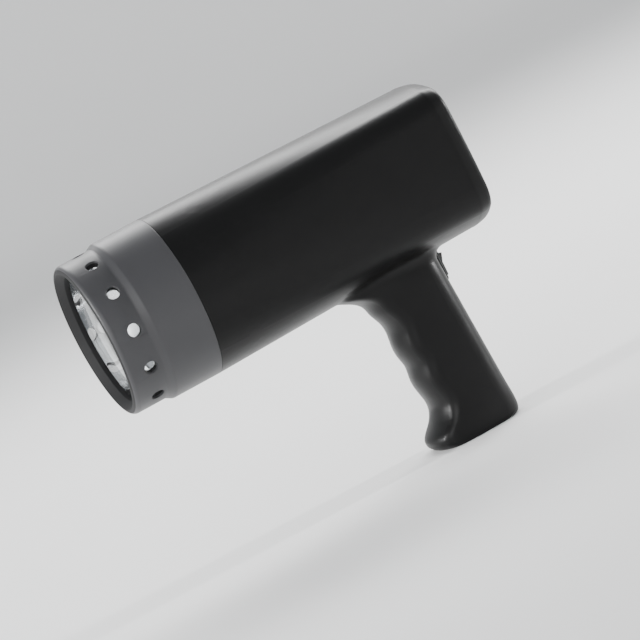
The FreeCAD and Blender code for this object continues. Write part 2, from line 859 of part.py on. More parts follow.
def trigger_coil():
    y = -driver_board_half_width * trigger_coil_offset_share
    x = driver_x + core_from + trigger_coil_radius
    body = cyl_z(trigger_coil_radius, driver_top, trigger_coil_height, x, y)
    waist = cyl_z(trigger_coil_radius, driver_top + pack_plate,
                  trigger_coil_height - 2 * pack_plate, x, y)
    waist = waist.cut(cyl_z(trigger_coil_radius - pack_web, driver_top, trigger_coil_height, x, y))
    return body.cut(waist)


def sink_y():
    """The back of the heat sink, with room for the transistor beside the coil."""
    return core_width / 2 + coil_swell + capacitor_gap + transistor_thickness


def heat_sink():
    """A finned plate that stands on the board."""
    x = driver_x + driver_board_length - sink_length - capacitor_gap
    y = sink_y()
    plate = block(x, x + sink_length, y, y + sink_fin, driver_top, driver_top + sink_height)
    pitch = (sink_length - sink_fin) / (sink_fins - 1)
    fins = [block(x + pitch * index, x + pitch * index + sink_fin, y, y + sink_width,
                  driver_top, driver_top + sink_height) for index in range(sink_fins)]
    return fuse_all([plate] + fins)


def power_transistor():
    x = driver_x + driver_board_length - capacitor_gap - sink_length / 2
    y = sink_y()
    half = transistor_width / 2
    foot = (sink_height - transistor_height) / 2
    body = block(x - half, x + half, y - transistor_thickness, y, driver_top + foot,
                 driver_top + foot + transistor_height)
    legs = [block(x + step * half / 2 - pin_radius, x + step * half / 2 + pin_radius,
                  y - transistor_thickness / 2 - pin_radius, y - transistor_thickness / 2 + pin_radius,
                  driver_top, driver_top + foot) for step in (-1, 0, 1)]
    return fuse_all([body] + legs)


def display_centre():
    return display_offset, axis_height + display_rise


def button_places():
    return [(-button_column + column * button_column_pitch,
             axis_height - button_row - row * button_row_pitch)
            for row in range(2) for column in range(2)]


def post_places():
    half = rear_half_width - panel_inset
    rise = rear_rise - panel_inset
    return [(half * y, axis_height + rise * z) for y, z in post_shares]


def panel_plate():
    panel = shield_slab(panel_inset, panel_front, panel_back)
    posts = [cyl_x(post_radius, control_front, post_length, y, z) for y, z in post_places()]
    raised = shield_slab(panel_inset + panel_lip_inset + slide_clearance, panel_back, rear_x)
    panel = fuse_all([panel, raised] + posts)
    y, z = display_centre()
    tools = [rounded_block(display_width, display_height, display_border / 2,
                           panel_front - cut_overrun, rear_x + cut_overrun, y, z)]
    gap = 2 * button_clearance
    tools += [rounded_block(button_width + gap, button_height + gap, button_corner + button_clearance,
                            panel_front - cut_overrun, rear_x + cut_overrun, *place)
              for place in button_places()]
    depth = panel_thickness + panel_lip + 2 * cut_overrun
    tools += [cyl_x(shaft_radius + bush_clearance + bush_wall + thin_clearance,
                    panel_front - cut_overrun, depth, column, axis_height - knob_row)
              for column in knob_columns]
    tools.append(cyl_x(jack_nose_radius + thin_clearance, panel_front - cut_overrun, depth,
                       jack_column, axis_height - jack_row))
    tools += [cyl_x(small_screw_radius + thin_clearance, control_front - cut_overrun,
                    small_screw_length + cut_overrun, y, z) for y, z in post_places()]
    return cut_all(panel, tools)


def display_frame():
    """Dark surround of the display, seated in the panel's window."""
    y, z = display_centre()
    fit = 2 * slide_clearance
    module_front = panel_front - module_thickness
    ring = rounded_block(display_width - fit, display_height - fit, display_border / 2,
                         panel_front, rear_x - seat_clearance, y, z)
    window = (display_width - 2 * display_border, display_height - 2 * display_border)
    back = rounded_block(display_width + 2 * module_margin, display_height + 2 * module_margin,
                         display_border / 2, module_front, panel_front, y, z)
    headers = [block(control_front, module_front, y - display_width / 2, y + display_width / 2,
                     z + side * display_height / 2 - header_width / 2,
                     z + side * display_height / 2 + header_width / 2) for side in (-1, 1)]
    room = rounded_block(*window, display_border / 3,
                         rear_x - display_recess - display_thickness, rear_x + cut_overrun, y, z)
    return fuse_all([ring, back] + headers).cut(room)


def display_glass():
    y, z = display_centre()
    fit = 2 * thin_clearance
    return rounded_block(display_width - 2 * display_border - fit,
                         display_height - 2 * display_border - fit, display_border / 3,
                         rear_x - display_recess - display_thickness, rear_x - display_recess, y, z)


def control_board():
    board = shield_slab(panel_inset + board_inset, control_front - board_thickness, control_front)
    tools = [cyl_x(small_screw_radius + thin_clearance, control_front - 2 * board_thickness,
                   3 * board_thickness, y, z) for y, z in post_places()]
    tools.append(cyl_x(jack_nose_radius, control_front - 2 * board_thickness, 3 * board_thickness,
                       jack_column, axis_height - jack_row))
    return cut_all(board, tools)


def board_screws():
    screws = []
    for y, z in post_places():
        seat = control_front - board_thickness
        shank = cyl_x(small_screw_radius, seat, small_screw_length, y, z)
        head = cyl_x(small_screw_head_radius, seat - small_screw_head_height,
                     small_screw_head_height, y, z)
        screws.append(shank.fuse(head))
    return Part.makeCompound(screws)


def button_switches():
    """The four small push switches on the board, one under each button."""
    switches = []
    half = switch_side / 2
    for y, z in button_places():
        body = block(control_front, control_front + switch_body, y - half, y + half,
                     z - half, z + half)
        stem = cyl_x(switch_stem_radius, control_front + switch_body, switch_body / 2, y, z)
        switches.append(body.fuse(stem))
    return Part.makeCompound(switches)


def button_cap(y, z):
    """A cap that passes through the panel, with a flange behind it and a stem to its switch."""
    face = rear_x + button_rise
    cap = rounded_block(button_width, button_height, button_corner, panel_front, face, y, z)
    rim = edges_near(cap, lambda p: abs(p.x - face) < thin_clearance)
    cap = cap.makeFillet(button_corner / 4, rim)
    flange = rounded_block(button_width + 2 * button_flange, button_height + 2 * button_flange,
                           button_corner, panel_front - button_flange_thickness,
                           panel_front - thin_clearance, y, z)
    stem_end = control_front + switch_body * 1.5 + button_travel + slide_clearance
    stem = cyl_x(button_stem_radius, stem_end, panel_front - stem_end, y, z)
    return fuse_all([cap, flange, stem])


def speed_pot(column):
    """The body and threaded neck of a panel potentiometer."""
    z = axis_height - knob_row
    half = pot_side / 2
    body = block(control_front, control_front + pot_thickness, column - half, column + half,
                 z - half, z + half)
    neck_radius = shaft_radius + bush_clearance + bush_wall
    neck = cyl_x(neck_radius, control_front, rear_x + bush_proud - control_front, column, z)
    bore = cyl_x(shaft_radius + bush_clearance, control_front + shaft_end_gap, rear_x, column, z)
    return body.fuse(neck).cut(bore)


def knob_shaft(column):
    start = control_front + shaft_end_gap + seat_clearance
    end = rear_x + knob_lift + knob_bore_depth
    return cyl_x(shaft_radius, start, end - start, column, axis_height - knob_row)


def speed_knob(column):
    """A slightly tapered, fluted knob with a blind bore for its shaft."""
    z = axis_height - knob_row
    foot = rear_x + knob_lift
    body = Part.makeCone(knob_radius, knob_radius - knob_taper, knob_height, V(foot, column, z), V(1, 0, 0))
    top = edges_near(body, lambda p: abs(p.x - foot - knob_height) < thin_clearance)
    body = body.makeFillet(knob_round, top)
    tools = [cyl_x(shaft_radius, foot - cut_overrun, knob_bore_depth + cut_overrun, column, z)]
    for index in range(knob_flute_count):
        angle = 2 * math.pi * index / knob_flute_count
        reach = knob_radius + knob_flute_radius / 3
        tools.append(cyl_x(knob_flute_radius, foot - cut_overrun,
                           knob_height - knob_round + cut_overrun,
                           column + reach * math.sin(angle), z + reach * math.cos(angle)))
    return cut_all(body, tools)


def trigger_jack():
    z = axis_height - jack_row
    half = jack_side / 2
    body = block(control_front, panel_front, jack_column - half, jack_column + half,
                 z - half, z + half)
    nose = cyl_x(jack_nose_radius, control_front, rear_x - control_front, jack_column, z)
    bore = cyl_x(jack_bore_radius, rear_x - jack_bore_depth, jack_bore_depth + cut_overrun,
                 jack_column, z)
    return body.fuse(nose).cut(bore)


def cell_places():
    step = cell_radius + cell_gap / 2
    return [(pack_middle() + i * step, j * step) for i in (-1, 1) for j in (-1, 1)]


def battery_cells():
    cells = []
    for x, y in cell_places():
        bottom = pack_floor + pack_plate
        body = cyl_z(cell_radius, bottom, cell_height - cell_tip_height, x, y)
        tip = cyl_z(cell_tip_radius, bottom + cell_height - cell_tip_height, cell_tip_height, x, y)
        cells.append(body.fuse(tip))
    return Part.makeCompound(cells)


def battery_holder():
    """Two end plates joined by a cross web between the cells."""
    half, middle = pack_half(), pack_middle()
    top = pack_floor + pack_plate + cell_height
    plates = []
    for z in (pack_floor, top):
        plate = block(middle - half, middle + half, -half, half, z, z + pack_plate)
        upright = [e for e in plate.Edges if abs(e.tangentAt(e.FirstParameter).z) > 0.5]
        plates.append(plate.makeFillet(pack_corner, upright))
    web = cell_gap / 2 - thin_clearance
    webs = [block(middle - half, middle + half, -web, web, pack_floor, top + pack_plate),
            block(middle - web, middle + web, -half, half, pack_floor, top + pack_plate)]
    return fuse_all(plates + webs)


def halves():
    """The housing split on its middle plane into a left and a right shell."""
    whole = housing()
    reach = overall_length
    left = whole.common(block(-reach, reach, -reach, 0, -reach, reach))
    right = whole.common(block(-reach, reach, 0, reach, -reach, reach))
    return left, right


def build():
    left, right = halves()
    nodes = {"shell_left": left, "shell_right": right, "shell_screws": shell_screws(),
             "front_collar": front_collar(), "lens_window": lens_window(),
             "lens_gasket": lens_gasket(), "reflector": reflector(),
             "reflector_holder": reflector_holder(), "flash_tube": flash_tube(),
             "flash_tube_base": tube_base(), "flash_tube_pins": tube_pins(),
             "lamp_screws": lamp_screws(), "driver_board": driver_board(),
             "storage_capacitors": storage_capacitors(), "transformer_core": transformer_core(),
             "transformer_coil": transformer_coil(), "trigger_coil": trigger_coil(),
             "heat_sink": heat_sink(), "power_transistor": power_transistor(),
             "rear_panel": panel_plate(), "display_frame": display_frame(),
             "display_glass": display_glass(), "control_board": control_board(),
             "board_screws": board_screws(), "button_switches": button_switches(),
             "trigger_jack": trigger_jack(), "rocker_frame": rocker_frame(),
             "power_rocker": power_rocker(), "battery_cells": battery_cells(),
             "battery_holder": battery_holder(), "tripod_bush": tripod_bush(),
             "charging_inlet": charging_inlet()}
    for number, place in enumerate(button_places(), 1):
        nodes[f"button_{number}"] = button_cap(*place)
    for name, column in zip(("coarse", "fine"), knob_columns):
        nodes[f"{name}_pot"] = speed_pot(column)
        nodes[f"{name}_shaft"] = knob_shaft(column)
        nodes[f"{name}_knob"] = speed_knob(column)
    return nodes


os.makedirs("parts", exist_ok=True)
for name, shape in build().items():
    if not shape.isValid():
        print("not valid:", name)
    print(f"{name:20} solids {len(shape.Solids)} volume {shape.Volume:10.1f} faces {len(shape.Faces)}")
    shape.exportStep(f"parts/{name}.step")
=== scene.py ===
"""Looks of a hand-held xenon stroboscope: a pistol-grip housing of black moulded plastic, a grey
vented collar with a lens and a bright reflector at the nose, and a grey control panel at the rear.

The nose points to -X and the panel to +X, +Z is up, and the left half of the housing faces -Y.
"""

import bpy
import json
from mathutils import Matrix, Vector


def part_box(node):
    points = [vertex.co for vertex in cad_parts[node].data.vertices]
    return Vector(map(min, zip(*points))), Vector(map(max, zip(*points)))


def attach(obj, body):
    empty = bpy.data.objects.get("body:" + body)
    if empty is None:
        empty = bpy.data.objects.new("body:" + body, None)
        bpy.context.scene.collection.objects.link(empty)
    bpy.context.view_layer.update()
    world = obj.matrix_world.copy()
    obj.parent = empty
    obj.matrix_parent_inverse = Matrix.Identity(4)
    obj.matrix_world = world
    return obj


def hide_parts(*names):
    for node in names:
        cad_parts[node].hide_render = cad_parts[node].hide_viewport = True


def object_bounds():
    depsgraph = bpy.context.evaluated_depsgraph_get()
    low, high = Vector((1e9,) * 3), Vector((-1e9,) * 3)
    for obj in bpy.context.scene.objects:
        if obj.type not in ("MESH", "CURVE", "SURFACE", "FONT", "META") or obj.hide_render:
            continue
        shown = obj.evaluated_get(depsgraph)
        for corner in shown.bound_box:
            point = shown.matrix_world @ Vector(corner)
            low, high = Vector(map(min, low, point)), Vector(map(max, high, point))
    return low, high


bl_info = {
    "name": "Hand-held stroboscope",
    "version": (1, 0, 0),
    "blender": (4, 5, 0),
    "location": "View3D > Sidebar > Stroboscope",
    "description": "Dresses the stroboscope with finished pieces and sets up its studio",
    "category": "Object",
}

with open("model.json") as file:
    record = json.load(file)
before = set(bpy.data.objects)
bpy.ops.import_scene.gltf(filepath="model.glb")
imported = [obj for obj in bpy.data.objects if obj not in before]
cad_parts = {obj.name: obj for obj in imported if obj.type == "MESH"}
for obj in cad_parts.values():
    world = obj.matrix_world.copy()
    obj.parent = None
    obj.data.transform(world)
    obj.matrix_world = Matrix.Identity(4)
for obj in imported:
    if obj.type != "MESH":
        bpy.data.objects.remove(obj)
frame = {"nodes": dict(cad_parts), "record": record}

import json
import math

import bmesh
import bpy
from bpy.props import FloatProperty, FloatVectorProperty, PointerProperty
from mathutils import Quaternion, Vector
from mathutils.bvhtree import BVHTree
from mathutils.geometry import barycentric_transform, convex_hull_2d

MM = 0.001
CAD_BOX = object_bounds()

# Places on the object, in millimetres
AXIS_Z = 136.0
REAR_X = 51.5
MOUTH_X = -110.2
VENT_X = -146.8
VENT_RADIUS = 3.5
VENT_COUNT = 12
HOOD_INSIDE = 41.2
SKIRT_X = -150.4
BOWL_X = -136.0
NECK_X = -108.0
NECK_END_X = -100.0
SKIRT_RADIUS = 38.6
NECK_RADIUS = 12.8
SHEET = 0.8
LAMP_BEND_X = -118.0
LAMP_SPREAD = 5.0
LAMP_RADIUS = 2.2
KNOB_FOOT_X = 52.3
KNOB_Z = 120.5
KNOB_YS = (4.0, 26.4)
KNOB_RADIUS = 6.6
DISPLAY_Y = 0.3
DISPLAY_Z = 148.5
DISPLAY_FACE_X = 50.5
DISPLAY_TEXT = "433"
PANEL_FACE_X = 51.5
PANEL_STEP_X = 50.9
BUTTON_FACE_X = 52.8
BUTTON_WIDTH = 8.8
BUTTON_HEIGHT = 6.1
BUTTON_PLACES = ((-24.8, 122.7), (-12.6, 122.7), (-24.8, 111.7), (-12.6, 111.7))
SCREW_PLACES = ((-90.0, 169.0), (-90.0, 103.0), (24.0, 167.0), (24.0, 105.0), (-7.0, 76.0), (-13.0, 8.6))
ROCKER_FRAME_X = 21.9
ROCKER_KEY_X = 21.5
LAMP_BASE_X = -93.5
BUSH_FOOT_Z = 0.3
INLET_FOOT_Z = 2.0
INK = 0.04

# Two faces count as one where they lie this close, in metres, and face this much the same way
SAME_PLACE = 0.000004
SAME_WAY = 0.9995
# Beside the seam, within this many metres, the outer skin faces neither left nor right
SEAM_REACH = 0.0006
SEAM_TILT = 0.2


# Shader sums

class Wire:
    """A shader socket that takes part in Python sums; each sign adds one Math node."""

    def __init__(self, tree, socket):
        self.tree = tree
        self.socket = socket

    def math(self, operation, *others):
        node = self.tree.nodes.new("ShaderNodeMath")
        node.operation = operation
        for index, value in enumerate((self, *others)):
            plug(self.tree, value, node.inputs[index])
        return Wire(self.tree, node.outputs[0])

    def __add__(self, other):
        return self.math("ADD", other)

    def __radd__(self, other):
        return self.math("ADD", other)

    def __sub__(self, other):
        return self.math("SUBTRACT", other)

    def __rsub__(self, other):
        return self.math("MULTIPLY", -1.0).math("ADD", other)

    def __mul__(self, other):
        return self.math("MULTIPLY", other)

    def __rmul__(self, other):
        return self.math("MULTIPLY", other)

    def __truediv__(self, other):
        return self.math("DIVIDE", other)

    def __gt__(self, other):
        return self.math("GREATER_THAN", other)

    def __lt__(self, other):
        return self.math("LESS_THAN", other)

    def clamped(self):
        return self.math("MAXIMUM", 0.0).math("MINIMUM", 1.0)


def plug(tree, value, socket):
    """Joins a wire to a socket, or sets the socket's own value."""
    if isinstance(value, Wire):
        tree.links.new(value.socket, socket)
    elif hasattr(socket.default_value, "__len__") and len(value) == 3 and len(socket.default_value) == 4:
        socket.default_value = (*value, 1.0)
    else:
        socket.default_value = value


class Finish:
    """One material: a Principled shader and the patterns that vary it over the surface."""

    def __init__(self, name, colour, roughness, **constants):
        self.material = bpy.data.materials.new(name)
        self.material.use_nodes = True
        self.material.diffuse_color = (*colour, 1.0)
        self.tree = self.material.node_tree
        self.tree.nodes.clear()
        self.shader = self.tree.nodes.new("ShaderNodeBsdfPrincipled")
        output = self.tree.nodes.new("ShaderNodeOutputMaterial")
        self.tree.links.new(self.shader.outputs[0], output.inputs["Surface"])
        self.place = self.node("ShaderNodeTexCoord", {}, {}, "Object")
        self.set("Base Color", colour)
        self.set("Roughness", roughness)
        for socket, value in constants.items():
            self.set(socket.replace("_", " "), value)

    def node(self, kind, settings, sockets, result=0):
        """Adds one node: its settings first, then the values or wires of its sockets."""
        node = self.tree.nodes.new(kind)
        for key, value in settings.items():
            if key == "stops":
                self.lay_stops(node.color_ramp, value)
            else:
                setattr(node, key, value)
        for key, value in sockets.items():
            plug(self.tree, value, node.inputs[key])
        return Wire(self.tree, node.outputs[result])

    def lay_stops(self, ramp, stops):
        while len(ramp.elements) < len(stops):
            ramp.elements.new(0.5)
        for element, (position, colour) in zip(ramp.elements, stops):
            element.position = position
            element.color = (*colour, 1.0)

    def set(self, socket, value):
        plug(self.tree, value, self.shader.inputs[socket])

    def noise(self, size_mm, detail=2.0, roughness=0.5, stretch=None):
        """Soft cloudy noise with features of about this size."""
        place = self.stretched(stretch) if stretch else self.place
        return self.node("ShaderNodeTexNoise", {}, {"Vector": place, "Scale": 1.0 / (size_mm * MM),
                                                    "Detail": detail, "Roughness": roughness}, "Fac")

    def cells(self, size_mm, result="Distance"):
        return self.node("ShaderNodeTexVoronoi", {}, {"Vector": self.place,
                                                      "Scale": 1.0 / (size_mm * MM)}, result)

    def stretched(self, scale):
        return self.node("ShaderNodeMapping", {}, {"Vector": self.place, "Scale": scale})

    def axis(self, name):
        """The place along one axis, in millimetres."""
        return self.node("ShaderNodeSeparateXYZ", {}, {"Vector": self.place}, name) * (1.0 / MM)

    def blend(self, factor, first, second):
        """A colour mixed from two others."""
        node = self.tree.nodes.new("ShaderNodeMix")
        node.data_type = "RGBA"
        plug(self.tree, factor, node.inputs[0])
        plug(self.tree, first, node.inputs[6])
        plug(self.tree, second, node.inputs[7])
        return Wire(self.tree, node.outputs[2])

    def bump(self, height, depth_mm, strength=1.0, under=None):
        sockets = {"Height": height, "Distance": depth_mm * MM, "Strength": strength}
        if under is not None:
            sockets["Normal"] = under
        bumped = self.node("ShaderNodeBump", {}, sockets, "Normal")
        self.set("Normal", bumped)
        return bumped

    def radius(self, axis_1, centre_1, axis_2, centre_2):
        """Distance in millimetres from a line along the third axis."""
        first = self.axis(axis_1) - centre_1
        second = self.axis(axis_2) - centre_2
        return (first * first + second * second).math("SQRT")


def shade(colour, factor):
    return tuple(channel * factor for channel in colour)


def moulded(name, colour, roughness, grain_mm=0.5, grain_depth=0.012, mottle=0.12, **constants):
    """Moulded plastic with a fine spark-eroded grain, faint flow marks and uneven gloss."""
    finish = Finish(name, colour, roughness, **constants)
    flow = finish.noise(38.0, detail=3.0)
    dust = finish.noise(1.6, detail=4.0, roughness=0.65)
    finish.set("Base Color", finish.blend((flow * 0.7 + dust * 0.3).clamped(),
                                          shade(colour, 1.0 - mottle), shade(colour, 1.0 + mottle)))
    finish.set("Roughness", roughness + (flow - 0.5) * 0.10 + (dust - 0.5) * 0.08)
    grain = finish.noise(grain_mm, detail=2.0) * 0.6 + finish.cells(grain_mm * 0.8) * 0.4
    finish.bump(grain, grain_depth)
    return finish


def housing_black(colours):
    """Grained black housing, polished a little where a hand holds the grip."""
    finish = Finish("Housing plastic", colours.housing, 0.40, Specular_IOR_Level=0.17)
    flow = finish.noise(45.0, detail=3.0)
    dust = finish.noise(1.3, detail=4.0, roughness=0.7)
    height = finish.axis("Z")
    held = (height.math("SUBTRACT", 14.0) / 12.0).clamped() * ((84.0 - height) / 12.0).clamped()
    rubbed = held * finish.noise(9.0, detail=2.0).math("SUBTRACT", 0.35).math("MULTIPLY", 2.0).clamped()
    finish.set("Base Color", finish.blend((flow * 0.6 + dust * 0.4).clamped(),
                                          shade(colours.housing, 0.80), shade(colours.housing, 1.28)))
    finish.set("Roughness", 0.36 + (flow - 0.5) * 0.12 + (dust - 0.5) * 0.10 - rubbed * 0.08)
    grain = finish.noise(0.55, detail=2.0) * 0.55 + finish.cells(0.45) * 0.45
    finish.bump(grain, 0.016)
    return finish


def collar_grey(colours):
    """Mid-grey collar, a little dusty round the vents, with painted shade darkening the inner wall of the
    hood.
    """
    finish = Finish("Collar plastic", colours.collar, 0.42, Specular_IOR_Level=0.32)
    flow = finish.noise(30.0, detail=3.0)
    dust = finish.noise(1.4, detail=4.0, roughness=0.7)
    near = 1.0 - ((finish.axis("X") - VENT_X).math("ABSOLUTE") / 9.0).clamped()
    soot = near * finish.noise(6.0, detail=3.0)
    clean = finish.blend((flow * 0.6 + dust * 0.4).clamped(), shade(colours.collar, 0.90),
                         shade(colours.collar, 1.12))
    sooted = finish.blend(soot * 0.35, clean, shade(colours.collar, 0.62))
    # Painted shade: inside the hood, the collar's own grey is mixed most of the way to near-black and made
    # rougher, to stand in for the shade that falls in the hood.
    inside = finish.radius("Y", 0.0, "Z", AXIS_Z) < HOOD_INSIDE
    finish.set("Base Color", finish.blend(inside * 0.80, sooted, (0.003, 0.003, 0.003)))
    finish.set("Roughness", 0.42 + (flow - 0.5) * 0.10 + soot * 0.12 + inside * 0.25)
    grain = finish.noise(0.5, detail=2.0) * 0.6 + finish.cells(0.42) * 0.4
    finish.bump(grain, 0.012)
    return finish


def lens_clear():
    """Clear pressed lens window with a trace of dust on it."""
    finish = Finish("Lens", (0.97, 0.985, 0.99), 0.015, Transmission_Weight=1.0, IOR=1.49,
                    Specular_IOR_Level=0.08)
    dust = finish.noise(0.7, detail=5.0, roughness=0.7).math("SUBTRACT", 0.62).math("MULTIPLY", 4.0)
    smear = finish.noise(22.0, detail=2.0)
    finish.set("Roughness", 0.012 + dust.clamped() * 0.05 + smear * 0.012)
    finish.bump(finish.noise(16.0, detail=1.0), 0.010, 0.5)
    return finish


def reflector_bright(colours):
    """Spun and brightened aluminium sheet, with faint turning rings."""
    finish = Finish("Bright reflector", colours.reflector, 0.10, Metallic=1.0)
    rings = (finish.axis("X") * 7.5).math("SINE") * 0.5 + 0.5
    orange_peel = finish.noise(2.2, detail=2.0)
    streak = finish.noise(3.0, detail=4.0, stretch=(4.0, 0.6, 0.6))
    finish.set("Roughness", 0.09 + streak * 0.10)
    finish.set("Base Color", finish.blend(streak, shade(colours.reflector, 0.90), colours.reflector))
    finish.bump(rings * 0.4 + orange_peel * 0.6, 0.020, 0.6)
    return finish


def seal_rubber():
    """Matt black rubber with a faint bloom."""
    finish = Finish("Seal rubber", (0.018, 0.018, 0.019), 0.75)
    bloom = finish.noise(4.0, detail=4.0, roughness=0.7)
    finish.set("Base Color", finish.blend(bloom, (0.012, 0.012, 0.013), (0.035, 0.035, 0.036)))
    finish.set("Roughness", 0.68 + bloom * 0.18)
    finish.bump(finish.noise(0.4), 0.015)
    return finish


def tube_quartz():
    """Clear lamp glass, faintly smoked beside the electrodes."""
    finish = Finish("Lamp glass", (0.96, 0.97, 1.0), 0.02, Transmission_Weight=1.0, IOR=1.46)
    along = ((finish.axis("X") + 112.0) / 10.0).clamped()
    cloud = finish.noise(2.5, detail=3.0)
    finish.set("Base Color", finish.blend(along * cloud * 0.7, (0.96, 0.97, 1.0), (0.55, 0.50, 0.44)))
    finish.set("Roughness", 0.015 + along * 0.05)
    return finish


def lamp_ceramic():
    """Off-white lamp ceramic with fine specks and a faint heat stain round the tube."""
    finish = Finish("Lamp ceramic", (0.74, 0.70, 0.62), 0.55)
    specks = finish.cells(1.1) < 0.16
    stain = 1.0 - (finish.radius("Y", 0.0, "Z", AXIS_Z) / 11.0).clamped()
    base = finish.blend(finish.noise(5.0, detail=4.0), (0.70, 0.66, 0.58), (0.80, 0.77, 0.70))
    stained = finish.blend(stain * 0.5, base, (0.42, 0.34, 0.25))
    finish.set("Base Color", finish.blend(specks * 0.35, stained, (0.30, 0.27, 0.23)))
    finish.bump(finish.noise(0.5, detail=3.0), 0.02)
    return finish


def bright_metal(name, colour, roughness, grain_mm=0.4, stretch=(1.0, 1.0, 1.0)):
    """Plated or drawn metal with fine drawing lines and handling marks."""
    finish = Finish(name, colour, roughness, Metallic=1.0)
    lines = finish.noise(grain_mm, detail=3.0, stretch=stretch)
    marks = finish.noise(6.0, detail=4.0, roughness=0.65)
    finish.set("Roughness", roughness + (lines - 0.5) * 0.16 + (marks - 0.5) * 0.14)
    finish.set("Base Color", finish.blend(marks, shade(colour, 0.82), colour))
    finish.bump(lines, 0.006)
    return finish


def board_laminate():
    """Green lacquered board with copper tracks under the lacquer and tinned pads."""
    finish = Finish("Circuit board", (0.015, 0.10, 0.045), 0.35)
    across = (finish.axis("Y") * 1.2 + finish.noise(14.0) * 5.0).math("FRACT")
    along = (finish.axis("Z") * 0.8 + finish.axis("X") * 0.55).math("FRACT")
    tracks = (across < 0.34) * (along < 0.72)
    pads = finish.cells(5.2) < 0.15
    lacquer = finish.blend(tracks, (0.012, 0.085, 0.040), (0.035, 0.17, 0.075))
    finish.set("Base Color", finish.blend(pads, lacquer, (0.62, 0.60, 0.56)))
    finish.set("Metallic", pads * 0.9)
    finish.set("Roughness", 0.36 + finish.noise(3.0, detail=4.0) * 0.14)
    finish.bump(tracks * 0.6 + pads, 0.03, 0.6)
    return finish


def sleeved(name, colour, stripe, period_mm, width_share, axis="X"):
    """A shrunk plastic sleeve with a printed stripe and faint shrink lines."""
    finish = Finish(name, colour, 0.32)
    lines = (finish.axis(axis) / period_mm).math("FRACT") < width_share
    wrinkle = finish.noise(2.0, detail=3.0, stretch=(1.0, 2.5, 1.0))
    finish.set("Base Color", finish.blend(lines, finish.blend(wrinkle, shade(colour, 0.85), colour), stripe))
    finish.set("Roughness", 0.28 + wrinkle * 0.16)
    finish.bump(wrinkle, 0.04, 0.6)
    return finish


def core_steel():
    """A stack of thin lacquered steel laminations."""
    finish = Finish("Laminated core", (0.20, 0.20, 0.21), 0.45, Metallic=0.85)
    layers = (finish.axis("Y") * 2.0).math("FRACT")
    rust = finish.noise(5.0, detail=5.0, roughness=0.7)
    finish.set("Base Color", finish.blend((rust - 0.45).clamped() * 1.6, (0.20, 0.20, 0.21),
                                          (0.16, 0.09, 0.05)))
    finish.set("Roughness", 0.40 + rust * 0.2)
    finish.bump(layers, 0.10, 0.8)
    return finish


def coil_winding():
    """Wound coils under amber tape, the turns showing through."""
    finish = Finish("Winding tape", (0.52, 0.33, 0.07), 0.30, Coat_Weight=0.3)
    turns = (finish.axis("Z") * 8.0).math("SINE") * 0.5 + 0.5
    edge = (finish.axis("Z") / 6.5).math("FRACT") < 0.06
    tape = finish.blend(turns * 0.5, (0.56, 0.37, 0.09), (0.40, 0.22, 0.05))
    finish.set("Base Color", finish.blend(edge, tape, (0.30, 0.17, 0.04)))
    finish.set("Roughness", 0.26 + finish.noise(3.0, detail=3.0) * 0.12)
    finish.bump(turns * 0.5 + edge, 0.06, 0.7)
    return finish


def display_face(colours):
    """Grey-green display under a glossy front, with a faint segment haze."""
    finish = Finish("Display face", colours.display, 0.35, Coat_Weight=0.25, Coat_Roughness=0.05,
                    Specular_IOR_Level=0.25)
    haze = finish.noise(14.0, detail=2.0)
    columns = (finish.axis("Y") * 3.2).math("FRACT") < 0.08
    rows = (finish.axis("Z") * 3.2).math("FRACT") < 0.08
    fine = columns.math("MAXIMUM", rows)
    glass = finish.blend(haze, shade(colours.display, 0.88), shade(colours.display, 1.10))
    finish.set("Base Color", finish.blend(fine * 0.10, glass, shade(colours.display, 0.5)))
    finish.set("Roughness", 0.30 + haze * 0.10)
    return finish


def button_rubber(colours):
    """Grey button caps with a white printed outline round a bare middle."""
    finish = Finish("Button rubber", colours.button, 0.50)
    middle_y = (BUTTON_PLACES[0][0] + BUTTON_PLACES[1][0]) / 2
    middle_z = (BUTTON_PLACES[0][1] + BUTTON_PLACES[2][1]) / 2
    step_y = (BUTTON_PLACES[1][0] - BUTTON_PLACES[0][0]) / 2
    step_z = (BUTTON_PLACES[0][1] - BUTTON_PLACES[2][1]) / 2
    inset, corner, line = 0.95, 1.25, 0.42
    side_y = ((finish.axis("Y") - middle_y).math("ABSOLUTE") - step_y).math("ABSOLUTE")
    side_z = ((finish.axis("Z") - middle_z).math("ABSOLUTE") - step_z).math("ABSOLUTE")
    out_y = (side_y - (BUTTON_WIDTH / 2 - inset - corner)).math("MAXIMUM", 0.0)
    out_z = (side_z - (BUTTON_HEIGHT / 2 - inset - corner)).math("MAXIMUM", 0.0)
    edge = (out_y * out_y + out_z * out_z).math("SQRT") - corner
    printed = (edge.math("ABSOLUTE") < line) * (finish.axis("X") > BUTTON_FACE_X - 0.35)
    worn = finish.noise(1.1, detail=5.0, roughness=0.7) < 0.60
    wear = finish.noise(7.0, detail=3.0)
    base = finish.blend(wear, shade(colours.button, 0.86), shade(colours.button, 1.14))
    finish.set("Base Color", finish.blend(printed * (0.80 + worn * 0.20), base, colours.marking))
    finish.set("Roughness", 0.48 + wear * 0.14)
    finish.bump(finish.noise(0.35), 0.008)
    return finish


def print_ink(name, colour, **constants):
    """Pad-printed ink, faintly uneven."""
    finish = Finish(name, colour, 0.55, **constants)
    cover = finish.noise(0.8, detail=5.0, roughness=0.7)
    finish.set("Base Color", finish.blend(cover, shade(colour, 0.82), colour))
    finish.set("Roughness", 0.45 + cover * 0.2)
    finish.bump(cover, 0.006)
    return finish


